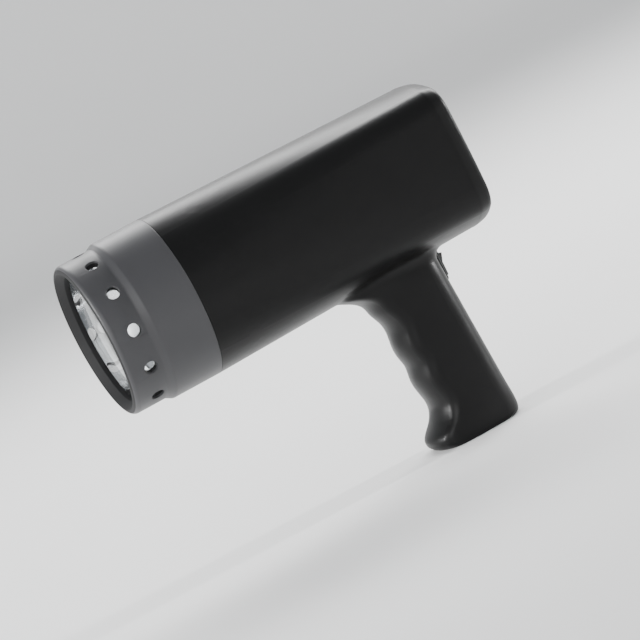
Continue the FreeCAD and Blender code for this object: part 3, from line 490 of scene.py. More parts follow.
def insert_brass():
    """Turned brass with a helical thread in its bore."""
    finish = Finish("Brass insert", (0.72, 0.50, 0.22), 0.26, Metallic=1.0)
    angle = finish.axis("Y").math("ARCTAN2", finish.axis("X")) / (2 * math.pi)
    thread = ((finish.axis("Z") / 1.27 + angle).math("FRACT") - 0.5).math("ABSOLUTE") * 2.0
    bore = finish.radius("X", 0.0, "Y", 0.0) < 3.0
    tarnish = finish.noise(3.0, detail=4.0)
    finish.set("Base Color", finish.blend(tarnish, (0.60, 0.40, 0.17), (0.78, 0.57, 0.28)))
    finish.set("Roughness", 0.22 + tarnish * 0.16)
    finish.bump(thread * bore, 0.45, 0.9)
    return finish


def socket_black():
    """Black socket moulding; the contact pin in the charging inlet is bright."""
    finish = Finish("Socket plastic", (0.012, 0.012, 0.013), 0.38)
    pin = finish.radius("X", 15.2, "Y", 0.0) < 1.15
    low = finish.axis("Z") < 12.0
    metal = pin * low
    dust = finish.noise(1.2, detail=4.0)
    dusty = finish.blend(dust, (0.010, 0.010, 0.011), (0.026, 0.026, 0.027))
    finish.set("Base Color", finish.blend(metal, dusty, (0.66, 0.62, 0.54)))
    finish.set("Metallic", metal)
    finish.set("Roughness", 0.40 - metal * 0.15 + (dust - 0.5) * 0.1)
    finish.bump(finish.noise(0.4), 0.010)
    return finish


def make_finishes(colours):
    """All finishes, by the slot that each one belongs to."""
    return {
        "housing_black": housing_black(colours),
        "collar_grey": collar_grey(colours),
        "lens_clear": lens_clear(),
        "seal_rubber": seal_rubber(),
        "reflector_bright": reflector_bright(colours),
        "holder_black": moulded("Holder plastic", (0.02, 0.02, 0.021), 0.5),
        "tube_quartz": tube_quartz(),
        "lamp_ceramic": lamp_ceramic(),
        "lead_metal": bright_metal("Lead wire", (0.62, 0.61, 0.58), 0.28, stretch=(0.3, 1.0, 1.0)),
        "screw_steel": bright_metal("Screw steel", (0.30, 0.29, 0.28), 0.34),
        "board_laminate": board_laminate(),
        "capacitor_sleeve": sleeved("Capacitor sleeve", (0.012, 0.030, 0.11), (0.45, 0.46, 0.48), 34.0, 0.10,
                                    "Y"),
        "core_steel": core_steel(),
        "coil_winding": coil_winding(),
        "sink_aluminium": bright_metal("Heat sink", (0.70, 0.71, 0.72), 0.36, stretch=(1.0, 1.0, 0.2)),
        "epoxy_black": moulded("Epoxy body", (0.022, 0.022, 0.024), 0.48, grain_mm=0.3),
        "panel_grey": moulded("Panel plastic", tuple(colours.panel), 0.46, grain_mm=0.42, grain_depth=0.009,
                              mottle=0.05),
        "display_surround": moulded("Display surround", tuple(colours.surround), 0.42, grain_mm=0.3,
                                    grain_depth=0.004, Specular_IOR_Level=0.18),
        "display_face": display_face(colours),
        "button_rubber": button_rubber(colours),
        "knob_grey": moulded("Knob plastic", tuple(colours.knob), 0.44, grain_mm=0.35, grain_depth=0.007,
                             mottle=0.07),
        "shaft_steel": bright_metal("Shaft steel", (0.55, 0.55, 0.56), 0.25),
        "socket_black": socket_black(),
        "rocker_black": moulded("Rocker plastic", (0.015, 0.015, 0.016), 0.30, grain_mm=0.35,
                                grain_depth=0.006),
        "cell_sleeve": sleeved("Cell sleeve", (0.02, 0.20, 0.06), (0.42, 0.44, 0.43), 50.0, 0.12, "Z"),
        "insert_brass": insert_brass(),
        "white_ink": print_ink("White print", tuple(colours.marking)),
        "dark_ink": print_ink("Dark print", (0.010, 0.010, 0.011), Specular_IOR_Level=0.20),
        "segment_ink": print_ink("Display segments", (0.004, 0.005, 0.005), Specular_IOR_Level=0.10),
    }


FINISHES = {}


def finish_of(slot):
    if not FINISHES:
        FINISHES.update(make_finishes(bpy.context.scene.strobe_colours))
    return FINISHES[slot].material


# Handling of pieces

def start_clean():
    """Object mode, with nothing selected."""
    if bpy.context.object and bpy.context.object.mode != "OBJECT":
        bpy.ops.object.mode_set(mode="OBJECT")
    bpy.ops.object.select_all(action="DESELECT")


def take(piece):
    """Makes one piece the only one selected, in object mode."""
    start_clean()
    piece.select_set(True)
    bpy.context.view_layer.objects.active = piece


def place(x, y, z):
    return Vector((x, y, z)) * MM


def named(name):
    """The primitive just added, with its place and turn put into its mesh."""
    piece = bpy.context.object
    piece.name = name
    piece.data.name = name
    bpy.ops.object.transform_apply(location=True, rotation=True, scale=True)
    return piece


def settle(piece, slot, body="body", nodes=(), finish=None):
    """Gives a finished piece its material, its body and the nodes it stands for."""
    piece.data.materials.clear()
    piece.data.materials.append(finish_of(finish or slot))
    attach(piece, body)
    if nodes:
        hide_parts(*nodes)
    return piece


def merged_copy(node, name):
    """A copy of a CAD piece with its loose faces joined."""
    piece = bpy.data.objects.new(name, frame["nodes"][node].data.copy())
    piece.data.name = name
    bpy.context.scene.collection.objects.link(piece)
    take(piece)
    if piece.data.has_custom_normals:
        bpy.ops.mesh.customdata_custom_splitnormals_clear()
    bpy.ops.object.mode_set(mode="EDIT")
    bpy.ops.mesh.select_all(action="SELECT")
    bpy.ops.mesh.remove_doubles(threshold=0.000002)
    bpy.ops.object.mode_set(mode="OBJECT")
    return piece


def choose(piece, kind, test):
    """Goes into edit mode with only the edges or faces selected that pass the test, and counts them."""
    take(piece)
    bpy.ops.object.mode_set(mode="EDIT")
    bpy.ops.mesh.select_mode(type=kind)
    bpy.ops.mesh.select_all(action="DESELECT")
    mesh = bmesh.from_edit_mesh(piece.data)
    mesh.normal_update()
    chosen = [item for item in (mesh.edges if kind == "EDGE" else mesh.faces) if test(item)]
    for item in chosen:
        item.select_set(True)
    mesh.select_flush_mode()
    bmesh.update_edit_mesh(piece.data)
    return len(chosen)


def turn_of(edge):
    """The angle between an edge's two faces in degrees, above zero where it sticks out."""
    if len(edge.link_faces) != 2:
        return 0.0
    return math.degrees(edge.calc_face_angle_signed(0.0))


def sharp_past(axis, limit_mm, turn=45.0, way=1):
    """An edge test: edges that stick out sharply and lie past a place on one axis, on its + or - side."""
    def test(edge):
        past = (way * getattr(vertex.co, axis) > way * limit_mm * MM for vertex in edge.verts)
        return turn_of(edge) > turn and all(past)
    return test


def bevel_where(piece, test, width_mm, segments=2):
    if choose(piece, "EDGE", test):
        bpy.ops.mesh.bevel(offset=width_mm * MM, segments=segments, profile=0.5, clamp_overlap=True)
    bpy.ops.object.mode_set(mode="OBJECT")


def smooth(piece, angle=32.0):
    """Smooth shading that keeps sharp corners and lets flat faces stay flat."""
    take(piece)
    bpy.ops.object.shade_smooth_by_angle(angle=math.radians(angle))
    modifier = piece.modifiers.new("Even faces", "WEIGHTED_NORMAL")
    modifier.keep_sharp = True
    modifier.weight = 60
    bpy.ops.object.modifier_apply(modifier=modifier.name)


def keep_curves(piece, node, angle=32.0, level_seam=False):
    """Smooth shading that keeps the true curvature of the frame's piece wherever its faces are kept.

    With level_seam, the shading runs on evenly from one half of the housing to the other.
    """
    take(piece)
    bpy.ops.object.shade_smooth_by_angle(angle=math.radians(angle))
    mesh, source = piece.data, frame["nodes"][node].data
    corners = [vertex.co for vertex in source.vertices]
    tree = BVHTree.FromPolygons(corners, [tuple(face.vertices) for face in source.polygons])
    normals = [Vector((0.0, 0.0, 0.0))] * len(mesh.loops)
    for face in mesh.polygons:
        _, _, index, gap = tree.find_nearest(face.center)
        old = source.polygons[index]
        if gap > SAME_PLACE or face.normal.dot(old.normal) < SAME_WAY:
            continue
        triangle = [corners[number] for number in old.vertices]
        curve = [source.corner_normals[number].vector for number in old.loop_indices]
        for loop in face.loop_indices:
            spot = mesh.vertices[mesh.loops[loop].vertex_index].co
            normal = barycentric_transform(spot, *triangle, *curve)
            if level_seam and abs(spot.y) < SEAM_REACH and abs(normal.y) < SEAM_TILT:
                normal.y = 0.0
            if 0.8 < normal.length < 1.2:
                normals[loop] = normal.normalized()
    mesh.normals_split_custom_set(normals)


def dressed_copy(node, name, slot, edges=None, width_mm=0.0, segments=2, body="body"):
    """A finished copy of a CAD piece: some edges rounded, its curvature kept and its material given."""
    piece = merged_copy(node, name)
    if edges:
        bevel_where(piece, edges, width_mm, segments)
    keep_curves(piece, node)
    return settle(piece, slot, body=body, nodes=(node,))


def all_outwards(piece):
    take(piece)
    bpy.ops.object.mode_set(mode="EDIT")
    bpy.ops.mesh.select_all(action="SELECT")
    bpy.ops.mesh.remove_doubles(threshold=0.000002)
    bpy.ops.mesh.normals_make_consistent(inside=False)
    bpy.ops.object.mode_set(mode="OBJECT")


def lathe(name, profile, steps, closed=True, y=0.0, z=AXIS_Z):
    """Spins a profile of (x, radius) points about a line along X."""
    start_clean()
    bpy.ops.mesh.primitive_plane_add(size=MM, location=place(profile[0][0], y, z + profile[0][1]))
    piece = named(name)
    bpy.ops.object.mode_set(mode="EDIT")
    bpy.ops.mesh.select_mode(type="VERT")
    bpy.ops.mesh.select_all(action="SELECT")
    bpy.ops.mesh.merge(type="CENTER")
    trail = list(profile) + ([profile[0]] if closed else [])
    for (x_0, r_0), (x_1, r_1) in zip(trail, trail[1:]):
        step = (MM * (x_1 - x_0), 0.0, MM * (r_1 - r_0))
        bpy.ops.mesh.extrude_region_move(TRANSFORM_OT_translate={"value": step})
    bpy.ops.mesh.select_all(action="SELECT")
    bpy.ops.mesh.remove_doubles(threshold=0.000002)
    bpy.ops.mesh.select_all(action="SELECT")
    bpy.ops.mesh.spin(steps=steps, angle=2 * math.pi, center=place(0.0, y, z), axis=(1.0, 0.0, 0.0))
    bpy.ops.object.mode_set(mode="OBJECT")
    all_outwards(piece)
    return piece


def joined(name, parts):
    """Several pieces made one."""
    take(parts[0])
    for part in parts[1:]:
        part.select_set(True)
    bpy.ops.object.join()
    parts[0].name = name
    parts[0].data.name = name
    return parts[0]


def copied(piece, name, shift_mm):
    """A copy with its own mesh, moved as a whole."""
    twin = bpy.data.objects.new(name, piece.data.copy())
    twin.data.name = name
    bpy.context.scene.collection.objects.link(twin)
    take(twin)
    twin.location = Vector(shift_mm) * MM
    bpy.ops.object.transform_apply(location=True, rotation=False, scale=False)
    return twin


def carve(piece, cutter):
    """Takes the cutter's form out of a piece and removes the cutter."""
    take(piece)
    modifier = piece.modifiers.new("Cut-outs", "BOOLEAN")
    modifier.operation = "DIFFERENCE"
    modifier.solver = "EXACT"
    modifier.object = cutter
    bpy.ops.object.modifier_apply(modifier=modifier.name)
    bpy.data.objects.remove(cutter)


def flat_shape(name, outline, x, thickness):
    """A thin plate facing +X from an outline of (y, z) points, all in millimetres."""
    start_clean()
    bpy.ops.mesh.primitive_circle_add(vertices=len(outline), radius=MM, fill_type="NGON",
                                      rotation=(math.pi / 2, 0.0, math.pi / 2))
    piece = named(name)
    for vertex, (y, z) in zip(piece.data.vertices, outline):
        vertex.co = place(x, y, z)
    take(piece)
    bpy.ops.object.mode_set(mode="EDIT")
    bpy.ops.mesh.select_all(action="SELECT")
    bpy.ops.mesh.extrude_region_move(TRANSFORM_OT_translate={"value": (thickness * MM, 0.0, 0.0)})
    bpy.ops.object.mode_set(mode="OBJECT")
    all_outwards(piece)
    return piece


def panel_outline(grow=0.0):
    """The outline of the panel's raised face as (y, z) points in millimetres, grown outwards."""
    spots = [Vector((v.co.y, v.co.z)) / MM for v in frame["nodes"]["rear_panel"].data.vertices
             if v.co.x > (PANEL_FACE_X - 0.01) * MM]
    ring = [spots[index] for index in convex_hull_2d(spots)]
    middle = Vector((0.0, AXIS_Z))
    outline = []
    for index, spot in enumerate(ring):
        along = ring[(index + 1) % len(ring)] - ring[index - 1]
        outward = Vector((along.y, -along.x)).normalized()
        if outward.dot(spot - middle) < 0.0:
            outward.negate()
        outline.append(tuple(spot + outward * grow))
    return outline


# Pieces of the housing

def dress_shell(node, name):
    """One half of the housing with a seat for the panel, a fine groove along the seam and soft rims."""
    sizes = bpy.context.scene.strobe_sizes
    piece = merged_copy(node, name)
    carve(piece, flat_shape("panel_seat", panel_outline(sizes.panel_lip + 0.12), PANEL_STEP_X - 0.04, 3.0))

    def on_seam(edge):
        return all(abs(v.co.y) < 0.00001 for v in edge.verts) and turn_of(edge) > 25.0

    bevel_where(piece, on_seam, sizes.seam_width)
    bevel_where(piece, sharp_past("x", MOUTH_X + 0.2, 50.0, -1), sizes.rim_round)
    bevel_where(piece, sharp_past("x", REAR_X - 0.1, 50.0), sizes.rim_round / 2)
    keep_curves(piece, node, level_seam=True)
    return piece


class STROBE_OT_housing(bpy.types.Operator):
    """Finish both halves of the moulded housing"""
    bl_idname = "strobe.housing"
    bl_label = "Housing"

    def execute(self, context):
        for side in ("left", "right"):
            piece = dress_shell("shell_" + side, "housing_" + side)
            settle(piece, "housing_black", nodes=("shell_" + side,))
        return {"FINISHED"}


class STROBE_OT_screws(bpy.types.Operator):
    """Make the housing screws with cross recesses in their heads"""
    bl_idname = "strobe.screws"
    bl_label = "Housing screws"

    def execute(self, context):
        low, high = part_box("shell_screws")
        start_clean()
        x, z = SCREW_PLACES[0]
        head_top = high.y / MM
        bpy.ops.mesh.primitive_cylinder_add(vertices=40, radius=2.8 * MM, depth=2.0 * MM,
                                            location=place(x, head_top - 1.0, z),
                                            rotation=(math.pi / 2, 0.0, 0.0))
        head = named("screw_head")
        bevel_where(head, lambda e: all(v.co.y > (head_top - 0.1) * MM for v in e.verts), 0.7, 4)
        for turn in (0.0, math.pi / 2):
            bpy.ops.object.select_all(action="DESELECT")
            bpy.ops.mesh.primitive_cube_add(size=1.0, location=place(x, head_top - 0.3, z),
                                            rotation=(0.0, turn, 0.0),
                                            scale=(3.2 * MM, 2.2 * MM, 0.75 * MM))
            carve(head, named("screw_cross"))
        start_clean()
        shank_low, shank_top = low.y / MM, head_top - 2.0
        bpy.ops.mesh.primitive_cylinder_add(vertices=24, radius=1.4 * MM, depth=(shank_top - shank_low) * MM,
                                            location=place(x, (shank_top + shank_low) / 2, z),
                                            rotation=(math.pi / 2, 0.0, 0.0))
        shank = named("screw_shank")
        bevel_where(shank, lambda e: all(v.co.y < (shank_low + 0.1) * MM for v in e.verts), 0.5, 2)
        first = joined("housing_screws", [head, shank])
        screws = [first]
        for x_1, z_1 in SCREW_PLACES[1:]:
            screws.append(copied(first, "screw_copy", (x_1 - x, 0.0, z_1 - z)))
        piece = joined("housing_screws", screws)
        smooth(piece, 40.0)
        settle(piece, "screw_steel", nodes=("shell_screws",))
        return {"FINISHED"}


# Front collar, lens and lamp

def vent_cutter(name, inner, outer):
    """A ring of radial rods in the places of the vents."""
    rods = []
    for index in range(VENT_COUNT):
        angle = 2 * math.pi * index / VENT_COUNT
        middle = (inner + outer) / 2
        start_clean()
        bpy.ops.mesh.primitive_cylinder_add(
            vertices=32, radius=VENT_RADIUS * MM, depth=(outer - inner) * MM,
            location=place(VENT_X, middle * math.sin(angle), AXIS_Z + middle * math.cos(angle)),
            rotation=(-angle, 0.0, 0.0))
        rods.append(named("vent_rod"))
    return joined(name, rods)


class STROBE_OT_collar(bpy.types.Operator):
    """Finish the vented front collar"""
    bl_idname = "strobe.collar"
    bl_label = "Front collar"

    def execute(self, context):
        sizes = context.scene.strobe_sizes
        piece = merged_copy("front_collar", "vented_collar")

        def vent_edge(edge):
            if turn_of(edge) < 45.0:
                return False
            for vertex in edge.verts:
                radius = math.hypot(vertex.co.y, vertex.co.z - AXIS_Z * MM) / MM
                if abs(vertex.co.x / MM - VENT_X) > VENT_RADIUS + 0.1 or radius < 40.0:
                    return False
            return True

        bevel_where(piece, vent_edge, sizes.vent_round, 3)

        def rear_edge(edge):
            if turn_of(edge) < 45.0:
                return False
            return all(abs(v.co.x / MM - MOUTH_X) < 0.3 for v in edge.verts)

        bevel_where(piece, rear_edge, sizes.seam_width, 2)
        keep_curves(piece, "front_collar")
        settle(piece, "collar_grey", nodes=("front_collar",))
        return {"FINISHED"}


class STROBE_OT_lens(bpy.types.Operator):
    """Make the domed lens window and its seal"""
    bl_idname = "strobe.lens"
    bl_label = "Lens window"

    def execute(self, context):
        low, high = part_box("lens_window")
        radius = (high.z - low.z) / 2 / MM
        front, back = low.x / MM, high.x / MM
        dome = 1.0
        profile = [(back, 0.0), (back, radius - 0.4), (back - 0.4, radius), (front + dome + 0.5, radius),
                   (front + dome, radius - 0.5)]
        for index in range(1, 9):
            share = 1.0 - index / 8
            profile.append((front + dome * share * share, (radius - 0.5) * share))
        piece = lathe("lens", profile, 96, closed=False)
        smooth(piece)
        settle(piece, "lens_clear", nodes=("lens_window",))
        dressed_copy("lens_gasket", "lens_seal", "seal_rubber")
        return {"FINISHED"}


class STROBE_OT_reflector(bpy.types.Operator):
    """Make the bright reflector with its perforated skirt"""
    bl_idname = "strobe.reflector"
    bl_label = "Reflector"

    def execute(self, context):
        inner = SKIRT_RADIUS - SHEET
        neck = NECK_RADIUS - SHEET
        span = NECK_X - BOWL_X
        focal_rows = 16
        bowl = []
        for index in range(focal_rows + 1):
            share = index / focal_rows
            radius = math.sqrt(inner ** 2 - share * (inner ** 2 - neck ** 2))
            bowl.append((BOWL_X + span * share, radius))
        inside = [(SKIRT_X, inner)] + bowl + [(NECK_END_X, neck)]
        outside = [(x, radius + SHEET) for x, radius in reversed(inside)]
        piece = lathe("bright_reflector", inside + outside, 120)
        carve(piece, vent_cutter("vent_cutter", inner - 4.0, inner + 4.0))
        smooth(piece, 40.0)
        settle(piece, "reflector_bright", nodes=("reflector",))
        return {"FINISHED"}


class STROBE_OT_lamp(bpy.types.Operator):
    """Make the flash tube, its electrodes, its trigger wire and the ceramic base"""
    bl_idname = "strobe.lamp"
    bl_label = "Flash tube"

    def execute(self, context):
        dressed_copy("flash_tube", "lamp_glass", "tube_quartz")
        rods = []
        for side in (-1, 1):
            y = side * LAMP_SPREAD
            profile = [(NECK_END_X - 0.2, 0.0), (NECK_END_X - 0.2, 0.55), (NECK_END_X - 8.0, 0.55),
                       (NECK_END_X - 8.4, 1.15), (NECK_END_X - 12.0, 1.15), (NECK_END_X - 12.8, 0.7),
                       (NECK_END_X - 13.0, 0.0)]
            rods.append(lathe("electrode", profile, 24, closed=False, y=y))
        electrodes = joined("lamp_electrodes", rods)
        smooth(electrodes)
        settle(electrodes, "lead_metal")
        dressed_copy("flash_tube_base", "lamp_base", "lamp_ceramic",
                     sharp_past("x", LAMP_BASE_X, 60.0, -1), 0.3)
        self.wind_trigger_wire()
        return {"FINISHED"}

    def wind_trigger_wire(self):
        """Fine wire wound round both legs, bridged across at the bend."""
        turns, reach, wire = 3.5, 9.0, 0.14
        radius = LAMP_RADIUS + wire + 0.05
        points = []
        for side in (-1, 1):
            leg = []
            count = int(turns * 14)
            for index in range(count + 1):
                share = index / count
                angle = 2 * math.pi * turns * share
                leg.append((LAMP_BEND_X + 1.0 + reach * share,
                            side * LAMP_SPREAD + side * radius * math.cos(angle),
                            AXIS_Z + radius * math.sin(angle)))
            points += leg[::-1] if side < 0 else leg
        curve = bpy.data.curves.new("trigger_wire", "CURVE")
        curve.dimensions = "3D"
        spline = curve.splines.new("NURBS")
        spline.points.add(len(points) - 1)
        for point, (x, y, z) in zip(spline.points, points):
            point.co = (*place(x, y, z), 1.0)
        spline.order_u = 3
        spline.use_endpoint_u = True
        curve.bevel_depth = wire * MM
        curve.bevel_resolution = 2
        curve.resolution_u = 4
        piece = bpy.data.objects.new("trigger_wire", curve)
        bpy.context.scene.collection.objects.link(piece)
        take(piece)
        bpy.ops.object.convert(target="MESH")
        piece = bpy.context.object
        smooth(piece, 60.0)
        settle(piece, "lead_metal")


# Control panel

class STROBE_OT_panel_plate(bpy.types.Operator):
    """Finish the grey rear panel and the sockets in it"""
    bl_idname = "strobe.panel_plate"
    bl_label = "Rear panel"

    def execute(self, context):
        sizes = context.scene.strobe_sizes
        plate = merged_copy("rear_panel", "panel_plate")
        outline = [Vector(spot) * MM for spot in panel_outline()]

        def outer_side(face):
            centre = face.calc_center_median()
            if not (PANEL_STEP_X + 0.05) * MM < centre.x < (PANEL_FACE_X - 0.05) * MM:
                return False
            outward = Vector((face.normal.y, face.normal.z))
            reach = max(spot.dot(outward) for spot in outline)
            return abs(face.normal.x) < 0.5 and outward.dot(Vector((centre.y, centre.z))) > reach - 0.2 * MM

        choose(plate, "FACE", outer_side)
        bpy.ops.mesh.extrude_region_shrink_fatten(
            TRANSFORM_OT_shrink_fatten={"value": sizes.panel_lip * MM, "use_even_offset": True})
        bpy.ops.object.mode_set(mode="OBJECT")
        bevel_where(plate, sharp_past("x", PANEL_FACE_X - 0.3), sizes.panel_round)
        keep_curves(plate, "rear_panel")
        settle(plate, "panel_grey", nodes=("rear_panel",))
        dressed_copy("trigger_jack", "sync_jack", "socket_black", sharp_past("x", PANEL_FACE_X - 1.0), 0.12)
        return {"FINISHED"}


SEGMENTS = {"3": "abgcd", "4": "fgbc"}


def segment_outline(kind, width, height, bar, gap, slant):
    """The six-sided outline of one segment of a digit whose lower left corner is at zero."""
    half = height / 2
    ends = {"a": ((0, height), (width, height)), "g": ((0, half), (width, half)), "d": ((0, 0), (width, 0)),
            "f": ((0, half), (0, height)), "b": ((width, half), (width, height)),
            "e": ((0, 0), (0, half)), "c": ((width, 0), (width, half))}[kind]
    (y_0, z_0), (y_1, z_1) = ends
    length = math.hypot(y_1 - y_0, z_1 - z_0)
    along = ((y_1 - y_0) / length, (z_1 - z_0) / length)
    across = (-along[1], along[0])
    points = []
    for run, off in ((gap, 0), (gap + bar / 2, bar / 2), (length - gap - bar / 2, bar / 2), (length - gap, 0),
                     (length - gap - bar / 2, -bar / 2), (gap + bar / 2, -bar / 2)):
        y = y_0 + along[0] * run + across[0] * off
        z = z_0 + along[1] * run + across[1] * off
        points.append((y + slant * z, z))
    return points


class STROBE_OT_display(bpy.types.Operator):
    """Make the display: its surround, its face, the digits and the bar marks"""
    bl_idname = "strobe.display"
    bl_label = "Display"

    def execute(self, context):
        sizes = context.scene.strobe_sizes
        dressed_copy("display_frame", "display_bezel", "display_surround",
                     sharp_past("x", PANEL_FACE_X - 0.6), 0.18)
        dressed_copy("display_glass", "display_pane", "display_face")
        digits = []
        pitch, width, height = sizes.digit_pitch, sizes.digit_width, sizes.digit_height
        bar, gap, slant = 1.5, 0.10, 0.10
        start_y, start_z = DISPLAY_Y - 13.6, DISPLAY_Z - height / 2 - 0.6
        for index, digit in enumerate(DISPLAY_TEXT):
            for kind in SEGMENTS[digit]:
                outline = [(start_y + index * pitch + y, start_z + z)
                           for y, z in segment_outline(kind, width, height, bar, gap, slant)]
                digits.append(flat_shape("segment", outline, DISPLAY_FACE_X, INK))
        marks_y = start_y + 3 * pitch + 1.6
        for row, (length, lift) in enumerate(((6.4, 6.6), (5.0, 4.3), (5.0, 2.6))):
            digits.append(self.bar(marks_y, start_z + lift, length, 0.95 if row else 1.2))
        dot = [(marks_y + 7.6 + 0.8 * math.cos(a), start_z + 1.0 + 0.8 * math.sin(a))
               for a in (2 * math.pi * i / 20 for i in range(20))]
        digits.append(flat_shape("segment", dot, DISPLAY_FACE_X, INK))
        piece = joined("display_digits", digits)
        settle(piece, "display_face", finish="segment_ink")
        return {"FINISHED"}

    def bar(self, y, z, length, height):
        outline = [(y, z), (y + length, z), (y + length, z + height), (y, z + height)]
        return flat_shape("segment", outline, DISPLAY_FACE_X, INK)


class STROBE_OT_buttons(bpy.types.Operator):
    """Make the four buttons with crowned tops and their printed signs"""
    bl_idname = "strobe.buttons"
    bl_label = "Buttons"

    def execute(self, context):
        y_0, z_0 = BUTTON_PLACES[0]
        foot = merged_copy("button_1", "button_foot")
        bevel_where(foot, sharp_past("x", BUTTON_FACE_X - 0.05), 0.45, 4)
        keep_curves(foot, "button_1")
        for index, (y, z) in enumerate(BUTTON_PLACES):
            name = f"button_{index + 1}"
            cap = copied(foot, f"cap_{index + 1}", (0.0, y - y_0, z - z_0))
            settle(cap, "button_rubber", body=name, nodes=(name,))
            sign = self.sign(index, y, z)
            settle(sign, "button_rubber", body=name, finish="dark_ink")
        bpy.data.objects.remove(foot)
        return {"FINISHED"}

    def sign(self, index, y, z):
        """Plain signs: up, down, a bar and a dot."""
        size, length, thickness = 1.15, 1.6, 0.45
        turns = [2 * math.pi * step / 24 for step in range(24)]
        outline = (
            [(-size, -size * 0.7), (size, -size * 0.7), (0.0, size * 0.9)],
            [(-length, -thickness), (length, -thickness), (length, thickness), (-length, thickness)],
            [(-size, size * 0.7), (0.0, -size * 0.9), (size, size * 0.7)],
            [(size * math.cos(turn), size * math.sin(turn)) for turn in turns],
        )[index]
        return flat_shape(f"sign_{index + 1}", [(y + off_y, z + off_z) for off_y, off_z in outline],
                          BUTTON_FACE_X - 0.01, INK)


class STROBE_OT_knobs(bpy.types.Operator):
    """Make the two speed knobs with fluted skirts, and the curved arrows beside them"""
    bl_idname = "strobe.knobs"
    bl_label = "Speed knobs"

    def execute(self, context):
        names = ("coarse_knob", "fine_knob")
        first = self.knob(KNOB_YS[0], KNOB_Z)
        for name, y in zip(names, KNOB_YS):
            piece = copied(first, name + "_cap", (0.0, y - KNOB_YS[0], 0.0))
            settle(piece, "knob_grey", body=name, nodes=(name,))
            arrow = self.arrow(name + "_arrow", y, KNOB_Z)
            settle(arrow, "panel_grey", finish="white_ink")
        bpy.data.objects.remove(first)
        return {"FINISHED"}

    def knob(self, y, z):
        """A fluted outline drawn up to a rounded rim, with a shallow dish in its top."""
        flutes, columns = 18, 144
        centre = place(KNOB_FOOT_X, y, z)
        start_clean()
        bpy.ops.mesh.primitive_circle_add(vertices=columns, radius=KNOB_RADIUS * MM, fill_type="NGON",
                                          location=centre, rotation=(0.0, math.pi / 2, 0.0))
        piece = named("speed_knob")
        bpy.ops.object.mode_set(mode="EDIT")
        bpy.ops.mesh.select_mode(type="VERT")
        spacing = columns // flutes
        for depth, shares in ((0.915, (0,)), (0.945, (-1, 1))):
            bpy.ops.mesh.select_all(action="DESELECT")
            mesh = bmesh.from_edit_mesh(piece.data)
            for vertex in mesh.verts:
                angle = math.atan2(vertex.co.y - centre.y, vertex.co.z - centre.z)
                column = round(angle / (2 * math.pi) * columns) % columns
                offset = (column + spacing // 2) % spacing - spacing // 2
                if offset in shares:
                    vertex.select_set(True)
            bmesh.update_edit_mesh(piece.data)
            bpy.ops.transform.resize(value=(1.0, depth, depth), center_override=centre)
        bpy.ops.mesh.select_mode(type="FACE")
        bpy.ops.mesh.select_all(action="SELECT")
        scale, height = 1.0, 0.0
        rows = ((0.0, 0.955), (0.35, 1.0), (9.0, 0.955), (9.45, 0.940), (9.78, 0.905), (9.95, 0.860),
                (10.0, 0.810), (10.0, 0.700), (9.85, 0.665), (9.60, 0.645), (9.55, 0.600), (9.55, 0.200))
        for rise, share in rows:
            step = ((rise - height) * MM, 0.0, 0.0)
            bpy.ops.mesh.extrude_region_move(TRANSFORM_OT_translate={"value": step})
            bpy.ops.transform.resize(value=(1.0, share / scale, share / scale), center_override=centre)
            scale, height = share, rise
        bpy.ops.object.mode_set(mode="OBJECT")
        all_outwards(piece)
        smooth(piece, 38.0)
        return piece

    def arrow(self, name, y, z):
        """A thin white arc on the left of a knob that ends in an arrow head."""
        radius, line, steps = 8.9, 0.55, 20
        start, end = math.radians(218.0), math.radians(138.0)
        outer, inner = [], []
        for index in range(steps + 1):
            angle = start + (end - start) * index / steps
            outer.append((y + (radius + line) * math.cos(angle), z + (radius + line) * math.sin(angle)))
            inner.append((y + (radius - line) * math.cos(angle), z + (radius - line) * math.sin(angle)))
        tip = math.radians(119.0)
        outline = outer + [(y + (radius + 1.25) * math.cos(end), z + (radius + 1.25) * math.sin(end)),
                           (y + radius * math.cos(tip), z + radius * math.sin(tip)),
                           (y + (radius - 1.25) * math.cos(end), z + (radius - 1.25) * math.sin(end))]
        outline += inner[::-1]
        return flat_shape(name, outline, PANEL_FACE_X, INK)


# Grip and base

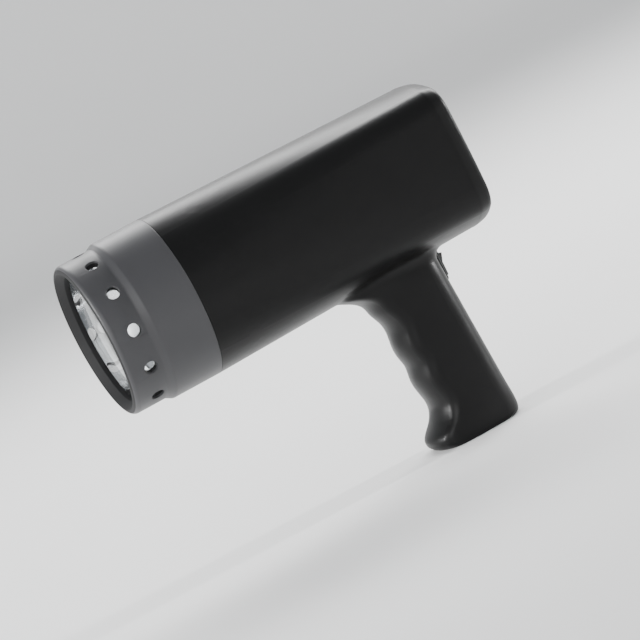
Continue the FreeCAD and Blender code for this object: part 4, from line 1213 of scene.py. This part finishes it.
class STROBE_OT_power_switch(bpy.types.Operator):
    """Finish the rocker switch in the back of the grip, with its two marks"""
    bl_idname = "strobe.power_switch"
    bl_label = "Power switch"

    def execute(self, context):
        dressed_copy("rocker_frame", "rocker_bezel", "rocker_black", sharp_past("x", ROCKER_FRAME_X), 0.25)
        rocker = dressed_copy("power_rocker", "rocker_key", "rocker_black",
                              sharp_past("x", ROCKER_KEY_X), 0.25, 3, body="power_rocker")
        low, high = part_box("power_rocker")
        middle, reach = (high.z + low.z) / 2 / MM, (high.z - low.z) / 2 / MM
        bar = flat_shape("bar_mark", [(-0.3, middle + 0.32 * reach), (0.3, middle + 0.32 * reach),
                                      (0.3, middle + 0.72 * reach), (-0.3, middle + 0.72 * reach)], 0.0, INK)
        start_clean()
        bpy.ops.mesh.primitive_torus_add(major_segments=36, minor_segments=8, major_radius=1.15 * MM,
                                         minor_radius=0.26 * MM, rotation=(0.0, math.pi / 2, 0.0),
                                         location=place(0.0, 0.0, middle - 0.52 * reach))
        bpy.context.object.scale = (1.0, 1.0, 0.15)
        ring = named("ring_mark")
        for mark in (bar, ring):
            self.lay_on(mark, rocker)
            smooth(mark)
            settle(mark, "rocker_black", body="power_rocker", finish="white_ink")
        return {"FINISHED"}

    def lay_on(self, mark, key):
        """Moves each point of a mark along X until the mark lies on the key's face."""
        tree = BVHTree.FromPolygons([vertex.co for vertex in key.data.vertices],
                                    [tuple(face.vertices) for face in key.data.polygons])
        for vertex in mark.data.vertices:
            spot, _, _, _ = tree.ray_cast(Vector((0.1, vertex.co.y, vertex.co.z)), Vector((-1.0, 0.0, 0.0)))
            vertex.co.x += spot.x


class STROBE_OT_base(bpy.types.Operator):
    """Finish the tripod bush and the charging inlet in the foot of the grip"""
    bl_idname = "strobe.base"
    bl_label = "Foot of the grip"

    def execute(self, context):
        dressed_copy("tripod_bush", "tripod_insert", "insert_brass",
                     sharp_past("z", BUSH_FOOT_Z, 60.0, -1), 0.35)
        dressed_copy("charging_inlet", "charging_socket", "socket_black",
                     sharp_past("z", INLET_FOOT_Z, 60.0, -1), 0.15)
        return {"FINISHED"}


class STROBE_OT_inner(bpy.types.Operator):
    """Give every inner piece that keeps its own form its finish"""
    bl_idname = "strobe.inner"
    bl_label = "Inner pieces"

    def execute(self, context):
        slots = {part["node"]: part["material_slot"] for part in frame["record"]["subparts"]}
        for name, node in frame["nodes"].items():
            if node.hide_render:
                continue
            node.data.materials.clear()
            node.data.materials.append(finish_of(slots[name]))
        return {"FINISHED"}


# Studio

# Each lamp: its name, its place from the middle and its size in metres, the setting that holds its
# power, and the spread of its beam in degrees
LAMPS = (
    ("Top softbox", (0.40, 0.95, 0.90), (1.4, 0.4), "top_light", 180.0),
    ("Side softbox", (-0.95, -1.15, 0.55), (0.9, 0.9), "side_light", 180.0),
    ("Rear softbox", (1.25, 0.9, 0.8), (0.8, 0.8), "rear_light", 180.0),
    ("Front strip", (-1.5, 0.2, 0.45), (0.3, 0.6), "front_light", 80.0),
    ("Back strip", (1.5, -0.22, 0.28), (0.12, 0.5), "back_light", 80.0),
)


class STROBE_OT_stage(bpy.types.Operator):
    """Lay the pale floor that curves up into a backdrop, hang the lights and set the camera"""
    bl_idname = "strobe.stage"
    bl_label = "Studio"

    def execute(self, context):
        view = context.scene.strobe_view
        self.floor(view.wall_glow)
        self.world(view.room_light)
        middle = (CAD_BOX[0] + CAD_BOX[1]) / 2
        for name, offset, size, power, spread in LAMPS:
            self.lamp(name, middle + Vector(offset), middle, size, getattr(view, power), spread)
        self.camera(view, middle)
        return {"FINISHED"}

    def floor(self, wall_glow):
        start_clean()
        flat, curve, rise, rows = 2.6, 0.9, 0.6, 12
        bpy.ops.mesh.primitive_circle_add(vertices=96, radius=flat, fill_type="NGON")
        piece = named("studio_floor")
        choose(piece, "EDGE", lambda edge: True)
        radius = flat
        for index in range(1, rows + 1):
            angle = math.pi / 2 * index / rows
            before = math.pi / 2 * (index - 1) / rows
            lift = curve * (math.cos(before) - math.cos(angle))
            wider = flat + curve * math.sin(angle)
            bpy.ops.mesh.extrude_region_move(TRANSFORM_OT_translate={"value": (0.0, 0.0, lift)})
            bpy.ops.transform.resize(value=(wider / radius, wider / radius, 1.0),
                                     center_override=(0.0, 0.0, 0.0))
            radius = wider
        bpy.ops.mesh.extrude_region_move(TRANSFORM_OT_translate={"value": (0.0, 0.0, rise)})
        bpy.ops.object.mode_set(mode="OBJECT")

        def lid(face):
            return face.calc_center_median().z > curve and abs(face.normal.z) > 0.9

        if choose(piece, "FACE", lid):
            bpy.ops.mesh.delete(type="FACE")
        bpy.ops.mesh.select_all(action="SELECT")
        bpy.ops.mesh.normals_make_consistent(inside=True)
        bpy.ops.object.mode_set(mode="OBJECT")
        bpy.ops.object.shade_smooth()
        paper = Finish("Studio paper", (0.80, 0.80, 0.79), 0.85)
        cloud = paper.noise(220.0, detail=2.0)
        paper.set("Base Color", paper.blend(cloud, (0.785, 0.785, 0.78), (0.815, 0.815, 0.81)))
        away = ((paper.radius("X", 0.0, "Y", 0.0) * MM - 0.9) / 2.3).clamped()
        paper.set("Emission Color", paper.blend(away, (0.0, 0.0, 0.0), (1.0, 1.0, 0.995)))
        paper.set("Emission Strength", wall_glow)
        paper.bump(paper.noise(1.5, detail=3.0), 0.02, 0.4)
        piece.data.materials.append(paper.material)

    def world(self, strength):
        world = bpy.data.worlds.new("Studio air")
        bpy.context.scene.world = world
        world.use_nodes = True
        background = world.node_tree.nodes["Background"]
        background.inputs["Color"].default_value = (0.93, 0.96, 1.0, 1.0)
        background.inputs["Strength"].default_value = strength

    def lamp(self, name, where, target, size, power, spread):
        light = bpy.data.lights.new(name, "AREA")
        light.spread = math.radians(spread)
        light.shape = "RECTANGLE"
        light.size, light.size_y = size
        light.energy = power
        lamp = bpy.data.objects.new(name, light)
        lamp.visible_camera = False
        bpy.context.scene.collection.objects.link(lamp)
        lamp.location = where
        lamp.rotation_mode = "QUATERNION"
        lamp.rotation_quaternion = (target - where).to_track_quat("-Z", "Y")

    def camera(self, view, middle):
        azimuth, elevation = math.radians(view.azimuth), math.radians(view.elevation)
        back = Vector((math.sin(azimuth) * math.cos(elevation), -math.cos(azimuth) * math.cos(elevation),
                       math.sin(elevation)))
        data = bpy.data.cameras.new("Studio camera")
        data.lens = view.focal_length
        camera = bpy.data.objects.new("Studio camera", data)
        bpy.context.scene.collection.objects.link(camera)
        turn = (-back).to_track_quat("-Z", "Y") @ Quaternion((0.0, 0.0, 1.0), math.radians(view.roll))
        side = turn @ Vector((1.0, 0.0, 0.0))
        up = turn @ Vector((0.0, 1.0, 0.0))
        camera.location = middle + back * view.distance + side * view.shift_right + up * view.shift_up
        camera.rotation_mode = "QUATERNION"
        camera.rotation_quaternion = turn
        data.clip_start, data.clip_end = 0.01, 30.0
        bpy.context.scene.camera = camera


# Settings that a user may change

class StrobeColours(bpy.types.PropertyGroup):
    housing: FloatVectorProperty(name="Housing", description="Colour of the moulded housing",
                                 subtype="COLOR", default=(0.0042, 0.0042, 0.0043), min=0.0, max=1.0)
    collar: FloatVectorProperty(name="Collar", description="Colour of the front collar",
                                subtype="COLOR", default=(0.046, 0.046, 0.049), min=0.0, max=1.0)
    panel: FloatVectorProperty(name="Panel", description="Colour of the rear panel",
                               subtype="COLOR", default=(0.152, 0.155, 0.160), min=0.0, max=1.0)
    surround: FloatVectorProperty(name="Surround", description="Colour of the frame round the display",
                                  subtype="COLOR", default=(0.011, 0.0115, 0.0125), min=0.0, max=1.0)
    display: FloatVectorProperty(name="Display", description="Colour of the display with no segment lit",
                                 subtype="COLOR", default=(0.040, 0.045, 0.042), min=0.0, max=1.0)
    button: FloatVectorProperty(name="Buttons", description="Colour of the button caps",
                                subtype="COLOR", default=(0.125, 0.128, 0.132), min=0.0, max=1.0)
    knob: FloatVectorProperty(name="Knobs", description="Colour of the speed knobs",
                              subtype="COLOR", default=(0.165, 0.168, 0.172), min=0.0, max=1.0)
    marking: FloatVectorProperty(name="Markings", description="Colour of the printed outlines and arrows",
                                 subtype="COLOR", default=(0.78, 0.79, 0.80), min=0.0, max=1.0)
    reflector: FloatVectorProperty(name="Reflector", description="Colour of the bright reflector",
                                   subtype="COLOR", default=(0.90, 0.91, 0.92), min=0.0, max=1.0)


class StrobeSizes(bpy.types.PropertyGroup):
    seam_width: FloatProperty(name="Seam", description="Width of the chamfer along the seam, in millimetres",
                              default=0.28, min=0.05, max=1.0)
    rim_round: FloatProperty(name="Rim", description="Rounding of the housing's open rims, in millimetres",
                             default=0.30, min=0.05, max=1.0)
    vent_round: FloatProperty(name="Vents", description="Rounding of the vent edges, in millimetres",
                              default=0.40, min=0.05, max=1.0)
    panel_round: FloatProperty(name="Panel edge", description="Rounding of the panel's edges, in millimetres",
                               default=0.22, min=0.05, max=0.5)
    panel_lip: FloatProperty(name="Panel lip", description="Lip of the panel over the housing's rim, "
                             "in millimetres", default=1.5, min=0.1, max=1.6)
    digit_pitch: FloatProperty(name="Digit pitch", description="Step from digit to digit, in millimetres",
                               default=7.6, min=4.0, max=12.0)
    digit_width: FloatProperty(name="Digit width", description="Width of a digit, in millimetres",
                               default=4.6, min=2.0, max=8.0)
    digit_height: FloatProperty(name="Digit height", description="Height of a digit, in millimetres",
                                default=9.6, min=4.0, max=14.0)


class StrobeView(bpy.types.PropertyGroup):
    azimuth: FloatProperty(name="Azimuth", description="Turn of the camera round the object, in degrees",
                           default=-14.0)
    elevation: FloatProperty(name="Elevation", description="Height of the camera above level, in degrees",
                             default=7.0)
    roll: FloatProperty(name="Roll", description="Turn of the picture, in degrees", default=-27.0)
    distance: FloatProperty(name="Distance", description="Camera distance from the middle", unit="LENGTH",
                            default=2.2)
    focal_length: FloatProperty(name="Focal length", description="Camera lens, in millimetres", default=240.0)
    shift_right: FloatProperty(name="Right", description="Camera moved to its right", unit="LENGTH",
                               default=0.0)
    shift_up: FloatProperty(name="Up", description="Camera moved to its top", unit="LENGTH", default=0.0)
    top_light: FloatProperty(name="Top", description="Power of the top softbox, in watts", default=26.0)
    side_light: FloatProperty(name="Side", description="Power of the side softbox, in watts", default=11.0)
    rear_light: FloatProperty(name="Rear", description="Power of the rear softbox, in watts", default=10.0)
    front_light: FloatProperty(name="Front", description="Power of the front strip, in watts", default=6.0)
    back_light: FloatProperty(name="Back", description="Power of the strip behind the grip, in watts",
                              default=6.0)
    room_light: FloatProperty(name="Room", description="Strength of the even light all round", default=0.55)
    wall_glow: FloatProperty(name="Wall glow", description="Light added to the backdrop away from the object",
                             default=0.36)


STEPS = (STROBE_OT_stage, STROBE_OT_housing, STROBE_OT_screws, STROBE_OT_collar, STROBE_OT_lens,
         STROBE_OT_reflector, STROBE_OT_lamp, STROBE_OT_panel_plate, STROBE_OT_display, STROBE_OT_buttons,
         STROBE_OT_knobs, STROBE_OT_power_switch, STROBE_OT_base, STROBE_OT_inner)


class STROBE_PT_panel(bpy.types.Panel):
    """Lists the steps that dress the stroboscope, and their settings"""
    bl_idname = "STROBE_PT_panel"
    bl_label = "Stroboscope"
    bl_space_type = "VIEW_3D"
    bl_region_type = "UI"
    bl_category = "Stroboscope"

    def draw(self, context):
        for step in STEPS:
            self.layout.operator(step.bl_idname)
        for group in (context.scene.strobe_colours, context.scene.strobe_sizes, context.scene.strobe_view):
            box = self.layout.box()
            for key in group.bl_rna.properties.keys():
                if key not in ("rna_type", "name"):
                    box.prop(group, key)


GROUPS = (("strobe_colours", StrobeColours), ("strobe_sizes", StrobeSizes), ("strobe_view", StrobeView))


def register():
    for _, group in GROUPS:
        bpy.utils.register_class(group)
    for step in (*STEPS, STROBE_PT_panel):
        bpy.utils.register_class(step)
    for name, group in GROUPS:
        setattr(bpy.types.Scene, name, PointerProperty(type=group))


def unregister():
    for name, _ in GROUPS:
        delattr(bpy.types.Scene, name)
    for step in (*STEPS, STROBE_PT_panel):
        bpy.utils.unregister_class(step)
    for _, group in GROUPS:
        bpy.utils.unregister_class(group)


def main():
    register()
    for step in STEPS:
        family, name = step.bl_idname.split(".")
        getattr(getattr(bpy.ops, family), name)()


if __name__ == "__main__":
    main()
